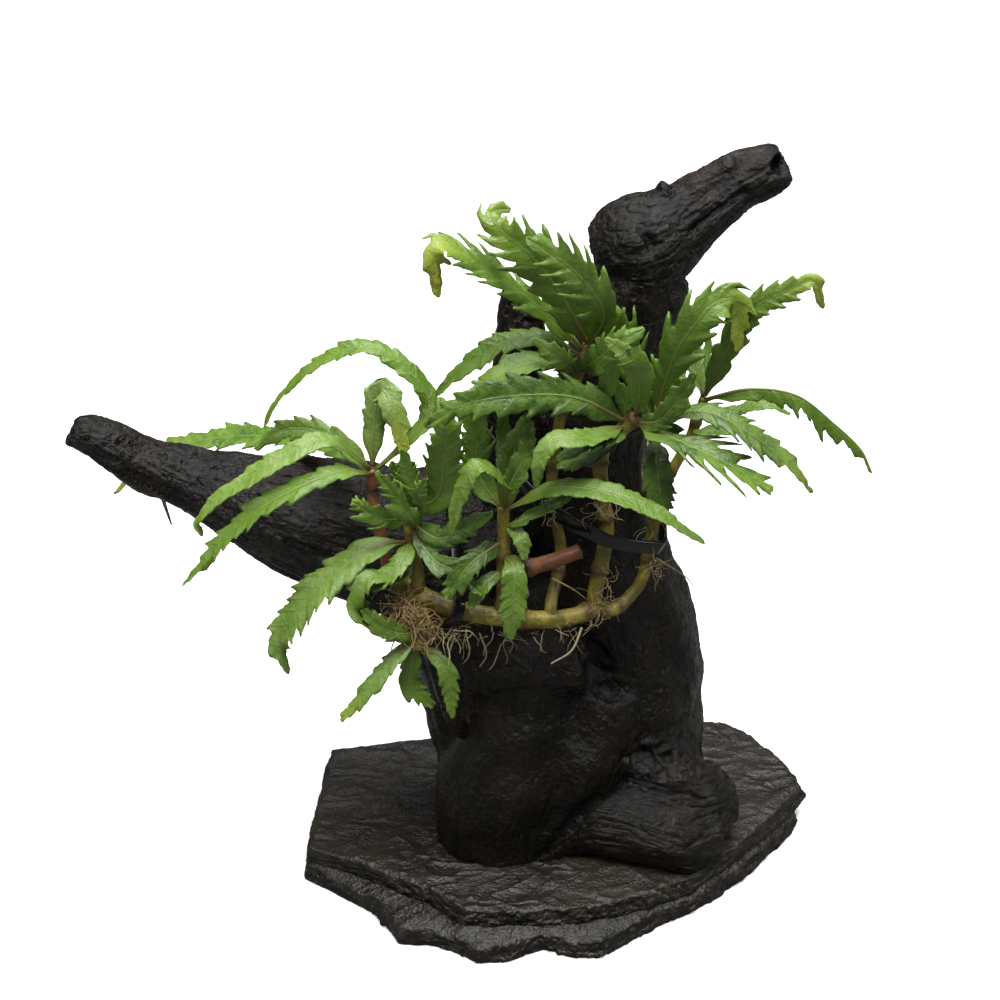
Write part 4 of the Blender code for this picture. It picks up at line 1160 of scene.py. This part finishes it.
def add_leaf(shape, foot, radius, width, lobe, lift, facing, rows, tone, age, seed):
    """One leaf: a thin blade with forward-pointing lobes, and a petiole that runs on as its midrib."""
    dice = np.random.default_rng(seed)
    whole = smooth_path(np.vstack([foot, rows_of(rows)]), 240)
    begin = int(np.argmax(np.linalg.norm(whole - foot, axis=1) > radius * 0.6 * MM))
    path = even_path(whole[begin:], 200)
    length = np.linalg.norm(np.diff(path, axis=0), axis=1).sum() / MM
    along, side, over = leaf_frames(path, np.array(facing))
    places = np.linspace(0, 1, len(path))

    def at(t, rows3):
        inner = np.clip(t, 0, 1)
        return np.stack([np.interp(inner, places, column) for column in rows3.T], axis=-1)

    spacing = TOOTH_SPACING if length > 30 else TOOTH_SPACING * 0.8
    spacing *= 0.62 if lobe < 0.22 else 0.85 + 0.75 * lobe
    lobes = max(4, round(length * 0.86 / spacing))
    steps = 9
    t = np.r_[np.linspace(0, 0.12, 8, endpoint=False), np.linspace(0.12, 0.985, lobes * steps), 1.0]
    body = leaf_body(t, width * (1 + 0.38 * lobe))
    wave = (t - 0.12) / 0.865 * lobes + 0.35 * np.sin(t * 9 + seed) * np.clip(t * 4, 0, 1)
    columns, veins, across = [], [], np.linspace(0, 1, ACROSS + 1)
    for hand in (-1, 1):
        shift = dice.uniform(0.2, 0.8) if hand < 0 else 0.0
        turn = wave + shift
        number = np.floor(turn).astype(int)
        phase = turn - number
        size = dice.uniform(0.55, 1.15, lobes + 4)[np.clip(number, 0, lobes + 3)]
        bend = dice.normal(0, 0.9, lobes + 4)[np.clip(number, 0, lobes + 3)]
        tooth = np.where(phase < 0.68, (phase / 0.68) ** 1.25, ((1 - phase) / 0.32) ** 1.1)
        live = np.clip((t - 0.13) / 0.06, 0, 1) * np.clip((1 - t) / 0.04, 0, 1)
        depth = lobe * 0.70 * live
        notch = np.abs((turn * 3) % 1.0 - 0.75) * 2
        blunt = np.clip((1.0 - t) / 0.012, 0, 1) ** 0.5
        half = body * (1 - depth * (1 - tooth * size) - 0.07 * live * notch) * blunt
        half = np.maximum(half, 0.12)
        slant = (0.55 + 0.40 * lobe) * live * (0.35 + 0.65 * body / (width / 2))
        hook = 0.45 * lobe * live * (tooth * size) * (phase < 0.85)
        for v in across[1:]:
            reach = half * v
            forward = slant * reach + hook * body * v**2.5
            spot = t + forward / length
            lifted = math.sin(math.radians(lift)) * reach
            arch = -0.10 * reach * v + 0.35 * bend * v**3 * min(1.0, lobe * 2.5)
            bulge = 0.22 * lobe * np.sin(np.pi * phase) * np.sin(np.pi * v) * live
            ruffle = 0.7 * v**2 * np.sin(np.pi * turn * 0.6 + seed) * live * (width / 14)
            z = (lifted + arch + bulge + ruffle) * MM
            x = reach * math.cos(math.radians(lift)) * MM * hand
            base = at(spot, path) + at(spot, along) * (np.maximum(spot - 1, 0) * length * MM)[:, None]
            columns.append((hand * v, base + at(spot, side) * x[:, None] + at(spot, over) * z[:, None]))
            line = np.exp(-(((phase - 0.66) / 0.085) ** 2)) * (1 - 0.45 * v) * live
            veins.append((hand * v, line))
    groove = at(t, path) - at(t, over) * (0.12 * MM)
    columns.append((0.0, groove))
    veins.append((0.0, t * 0 + 0.8))
    columns.sort(key=first_of)
    veins.sort(key=first_of)
    top = np.stack([column for _, column in columns], axis=1)
    vein = np.stack([column for _, column in veins], axis=1)
    v_row = np.array([v for v, _ in columns])
    rows_count, columns_count = top.shape[:2]
    slope_u = np.gradient(top, axis=0)
    slope_v = np.gradient(top, axis=1)
    normal = unit(np.cross(slope_v, slope_u))
    facing_up = (normal * at(t, over)[:, None]).sum(-1, keepdims=True).mean(axis=1, keepdims=True)
    normal = normal * np.sign(facing_up + 1e-9)
    thick = LEAF_THICKNESS * (1 - 0.45 * np.abs(v_row))[None, :, None] * MM
    upper, under = top + normal * thick / 2, top - normal * thick / 2
    points = np.vstack([upper.reshape(-1, 3), under.reshape(-1, 3)])
    count = rows_count * columns_count
    faces = grid_faces(rows_count, columns_count).tolist()
    faces += grid_faces(rows_count, columns_count, start=count, flip=True).tolist()
    rim = [i * columns_count for i in range(rows_count)]
    rim += [(rows_count - 1) * columns_count + j for j in range(1, columns_count)]
    rim += [i * columns_count + columns_count - 1 for i in range(rows_count - 2, -1, -1)]
    rim += list(range(columns_count - 2, 0, -1))
    faces += [(b, a, a + count, b + count) for a, b in zip(rim, rim[1:] + rim[:1])]
    old = age * np.clip((np.repeat(t, columns_count) - 0.62) / 0.28, 0, 1) ** 1.3
    blush = np.clip(1 - np.repeat(t, columns_count) / 0.22, 0, 1) * np.tile(np.abs(v_row) < 0.3, rows_count)
    shade = tone + 0.10 * np.repeat(np.clip(t, 0, 1), columns_count)
    values = {"tone": shade, "age": old, "vein": vein.reshape(-1), "rib": 0 * shade, "blush": blush * 0.7}
    shape.add(points, faces, **{key: np.tile(value, 2) for key, value in values.items()})
    stretch = np.linspace(0, 0.93, 60)
    line = at(stretch, path) - at(stretch, over) * (0.10 * MM)
    girth = np.interp(stretch, [0, 0.12, 0.3, 0.93], [0.85, 0.70, 0.48, 0.14])
    girth = girth * (0.75 + 0.25 * min(1.4, width / 12))
    sweep(
        shape, line, girth * MM * 0.85, 8, tone=stretch * 0 + tone, vein=stretch * 0,
        age=age * np.clip((stretch - 0.6) / 0.4, 0, 1),
        rib=np.interp(stretch, [0, 0.3, 1], [0.5, 0.85, 0.55]),
        blush=np.interp(stretch, [0, 0.1, 0.25], [0.75, 0.5, 0.0]),
    )


def build_leaves(material):
    for order, (name, (stem, at, width, lobe, lift, facing, rows)) in enumerate(LEAVES.items()):
        _, cluster, number = name.split("_")
        tone, age = LEAF_TONES[cluster][int(number) - 1]
        shape = Shape()
        foot = stem_line(stem)[round(at * 100)]
        lobe = min(0.95, 0.14 + 1.1 * lobe)
        add_leaf(shape, foot, STEMS[stem][0], width, lobe, lift, facing, rows, tone, age, 100 + order)
        mesh = shape.mesh(name + "_blade", material)
        face_outward(mesh)
        piece(name.replace("leaf_", "blade_"), mesh, [name])
    shape = Shape()
    for order, (stem, at, width, lobe, facing, rows, tone, age) in enumerate(YOUNG_LEAVES):
        foot = stem_line(stem)[round(at * 100)]
        add_leaf(shape, foot, STEMS[stem][0], width, lobe, 10, facing, rows, tone, age, 300 + order)
    mesh = shape.mesh("young_leaves", material)
    face_outward(mesh)
    piece("young_leaves", mesh, [])


# ---- roots ----
def wander(dice, start, way, length, curl, drop, steps=14):
    """A fine root: it leaves in one direction, curls, and sinks."""
    way = unit(np.array(way, float))
    points, at = [np.array(start, float)], np.array(start, float)
    swing = dice.normal(size=3)
    for _ in range(steps):
        swing = unit(swing * 0.8 + dice.normal(size=3) * 0.5)
        way = unit(way + swing * curl + np.array([0, 0, -drop]))
        at = at + way * length / steps
        points.append(at.copy())
    return np.array(points) * MM


def root_strands():
    """Every root as (path, radius, tan): the tangle on the rhizome, tufts at the joints, and long roots."""
    dice = np.random.default_rng(21)
    strands = []
    for middle, spread, count, length, radius, drop, tan in ROOT_TUFTS:
        for _ in range(count):
            start = np.array(middle) + dice.uniform(-1, 1, 3) * np.array(spread)
            way = dice.normal(size=3) + np.array([0, -0.5, -0.2])
            path = wander(dice, start, way, length * dice.uniform(0.6, 1.3), 0.42, drop)
            strands.append((path, radius * dice.uniform(0.5, 1.0), np.clip(tan + dice.normal(0, 0.15), 0, 1)))
    for radius, tan, rows in LONG_ROOTS:
        strands.append((smooth_path(rows_of(rows), 30), radius, tan))
    return strands


def strand_tree(material):
    """Geometry Nodes that turn thin lines into tapering strands."""
    tree = bpy.data.node_groups.new("strands", "GeometryNodeTree")
    for label, kind, value in (("Geometry", "NodeSocketGeometry", None), ("Sides", "NodeSocketInt", 5)):
        made = tree.interface.new_socket(label, in_out="INPUT", socket_type=kind)
        if value is not None:
            made.default_value = value
    tree.interface.new_socket("Geometry", in_out="OUTPUT", socket_type="NodeSocketGeometry")
    given, out = tree.nodes.new("NodeGroupInput"), tree.nodes.new("NodeGroupOutput")
    curves = node(tree, "GeometryNodeMeshToCurve", {"Mesh": given.outputs["Geometry"]})
    girth = node(tree, "GeometryNodeInputNamedAttribute", {"Name": "girth"}, data_type="FLOAT")
    sides = given.outputs["Sides"]
    round_section = node(tree, "GeometryNodeCurvePrimitiveCircle", {"Resolution": sides, "Radius": 1.0})
    skin = node(
        tree, "GeometryNodeCurveToMesh",
        {"Curve": curves.outputs[0], "Profile Curve": round_section.outputs["Curve"], "Fill Caps": True,
         "Scale": girth.outputs["Attribute"]},
    )
    solid = node(tree, "GeometryNodeRealizeInstances", {"Geometry": skin.outputs[0]})
    painted = node(tree, "GeometryNodeSetMaterial", {"Geometry": solid.outputs[0], "Material": material})
    tree.links.new(painted.outputs[0], out.inputs[0])
    return tree


def build_roots(material):
    strands = root_strands()
    points, edges, girth, tan = [], [], [], []
    for path, radius, colour in strands:
        start = len(points)
        points += path.tolist()
        edges += [(start + i, start + i + 1) for i in range(len(path) - 1)]
        girth += (radius * MM * np.linspace(1.0, 0.45, len(path))).tolist()
        tan += [colour] * len(path)
    mesh = bpy.data.meshes.new("root_lines")
    mesh.from_pydata(points, edges, [])
    set_values(mesh, "girth", np.array(girth))
    set_values(mesh, "tan", np.array(tan))
    lines = helper("root_lines", mesh)
    made = lines.modifiers.new("strands", "NODES")
    made.node_group = strand_tree(material)
    sides = next(item.identifier for item in made.node_group.interface.items_tree if item.name == "Sides")
    made[sides] = 5
    solid = evaluated_mesh(lines)
    remove(lines)
    solid.shade_smooth()
    piece("roots", solid, [])


# ---- bands ----
def build_bands(material):
    """Each band from its solid: edges rounded and sides made smooth."""
    for name in ("band_upper", "band_lower"):
        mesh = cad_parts[name].data.copy()
        mesh.materials.clear()
        mesh.materials.append(material)
        shape = bmesh.new()
        shape.from_mesh(mesh)
        bmesh.ops.remove_doubles(shape, verts=shape.verts, dist=1e-6)
        bmesh.ops.join_triangles(
            shape, faces=shape.faces,
            angle_face_threshold=math.radians(8), angle_shape_threshold=math.radians(60),
        )
        bmesh.ops.recalc_face_normals(shape, faces=shape.faces)
        shape.to_mesh(mesh)
        shape.free()
        obj = helper(name + "_loop", mesh)
        soft = obj.modifiers.new("edges", "BEVEL")
        soft.width, soft.segments = 0.3 * MM, 2
        soft.limit_method, soft.angle_limit = "ANGLE", math.radians(40)
        made = evaluated_mesh(obj)
        remove(obj)
        made.shade_smooth()
        piece(name + "_loop", made, [name])


# ---- camera, light and floor ----
def aim(lamp, place, at):
    lamp.location = place
    lamp.rotation_euler = (Vector(at) - Vector(place)).to_track_quat("-Z", "Y").to_euler()


def stage():
    """The camera, the floor, the world and the lamps."""
    scene = bpy.context.scene
    scene.view_settings.view_transform = "Standard"
    lens = bpy.data.cameras.new("camera")
    lens.lens, lens.sensor_width, lens.clip_end = FOCAL_LENGTH, SENSOR_WIDTH, 10.0
    camera = helper("camera", lens)
    away, up = CAMERA_DISTANCE * math.cos(CAMERA_RISE), CAMERA_DISTANCE * math.sin(CAMERA_RISE)
    camera.location = Vector(CAMERA_TARGET) + Vector((0.0, -away, up))
    camera.rotation_euler = (math.pi / 2 - CAMERA_RISE, 0.0, 0.0)
    scene.camera = camera

    mesh = bpy.data.meshes.new("floor")
    mesh.from_pydata([(-4, -4, 0), (4, -4, 0), (4, 4, 0), (-4, 4, 0)], [], [(0, 1, 2, 3)])
    made, tree, shader = finish("floor")
    seen = node(tree, "ShaderNodeLightPath").outputs["Is Camera Ray"]
    tree.links.new(blend(tree, seen, FLOOR_BOUNCE, FLOOR_COLOUR), shader.inputs["Base Color"])
    shader.inputs["Roughness"].default_value = 0.9
    shader.inputs["Specular IOR Level"].default_value = 0.0
    shader.inputs["Emission Color"].default_value = (1.0, 1.0, 1.0, 1.0)
    tree.links.new(roughness_between(tree, seen, 0.0, FLOOR_GLOW), shader.inputs["Emission Strength"])
    mesh.materials.append(made)
    floor = helper("floor", mesh)
    floor.location = (0, 0, -0.0002)

    world = bpy.data.worlds.new("studio")
    scene.world = world
    world.use_nodes = True
    tree = world.node_tree
    back = tree.nodes["Background"]
    seen = node(tree, "ShaderNodeLightPath").outputs["Is Camera Ray"]
    tree.links.new(roughness_between(tree, seen, WORLD_GLOW, 1.0), back.inputs["Strength"])
    back.inputs["Color"].default_value = (1.0, 1.0, 1.0, 1.0)
    for name, kind, power, size, place, target_at in LIGHTS:
        lamp = bpy.data.lights.new(name, kind)
        lamp.energy = power
        if kind == "AREA":
            lamp.shape, lamp.size, lamp.size_y = "RECTANGLE", size[0], size[1]
        else:
            lamp.angle = math.radians(size[0])
        aim(helper(name, lamp), place, target_at)
    for name, power, size, place, target_at in GLINTS:
        lamp = bpy.data.lights.new(name, "AREA")
        lamp.energy, lamp.color = power, (1.0, 0.98, 0.94)
        lamp.shape, lamp.size, lamp.size_y = "RECTANGLE", size[0], size[1]
        obj = helper(name, lamp)
        obj.visible_diffuse = False
        aim(obj, place, target_at)


CAMERA_TARGET, CAMERA_DISTANCE, CAMERA_RISE = (-0.018, 0.010, 0.123), 0.708, math.radians(29.0)
FOCAL_LENGTH, SENSOR_WIDTH = 85.0, 36.0  # millimetres
FLOOR_COLOUR = (0.93, 0.93, 0.93)  # as the camera sees it
FLOOR_BOUNCE = (0.17, 0.17, 0.16)  # for the light that it sends back up
WORLD_GLOW, FLOOR_GLOW = 0.10, 0.40
GLINTS = [  # lamps that only shine back from wet and glossy skins
    ("glint_left", 3.0, (0.16, 0.22), (-0.45, -0.75, 0.95), (-0.02, -0.02, 0.06)),
    ("glint_right", 2.5, (0.15, 0.40), (0.85, -0.25, 0.60), (0.02, 0.02, 0.08)),
]
LIGHTS = [
    ("sky", "SUN", 3.1, (26.0,), (0.05, -0.25, 1.0), (0, 0, 0)),
    ("overhead", "AREA", 8.0, (0.8, 0.6), (0.0, 0.20, 0.95), (0, 0, 0.1)),
    ("left_box", "AREA", 1.2, (0.4, 0.6), (-0.75, -0.35, 0.55), (0, 0, 0.1)),
]


def main():
    materials = {name: stem_finish(name, STEM_COLOURS[name], 0.32) for name in STEM_COLOURS}
    leaf = leaf_finish()
    build_wood(wood_finish())
    build_slate(slate_finish())
    build_stems(materials)
    build_leaves(leaf)
    build_roots(root_finish())
    build_bands(band_finish())
    stage()


main()
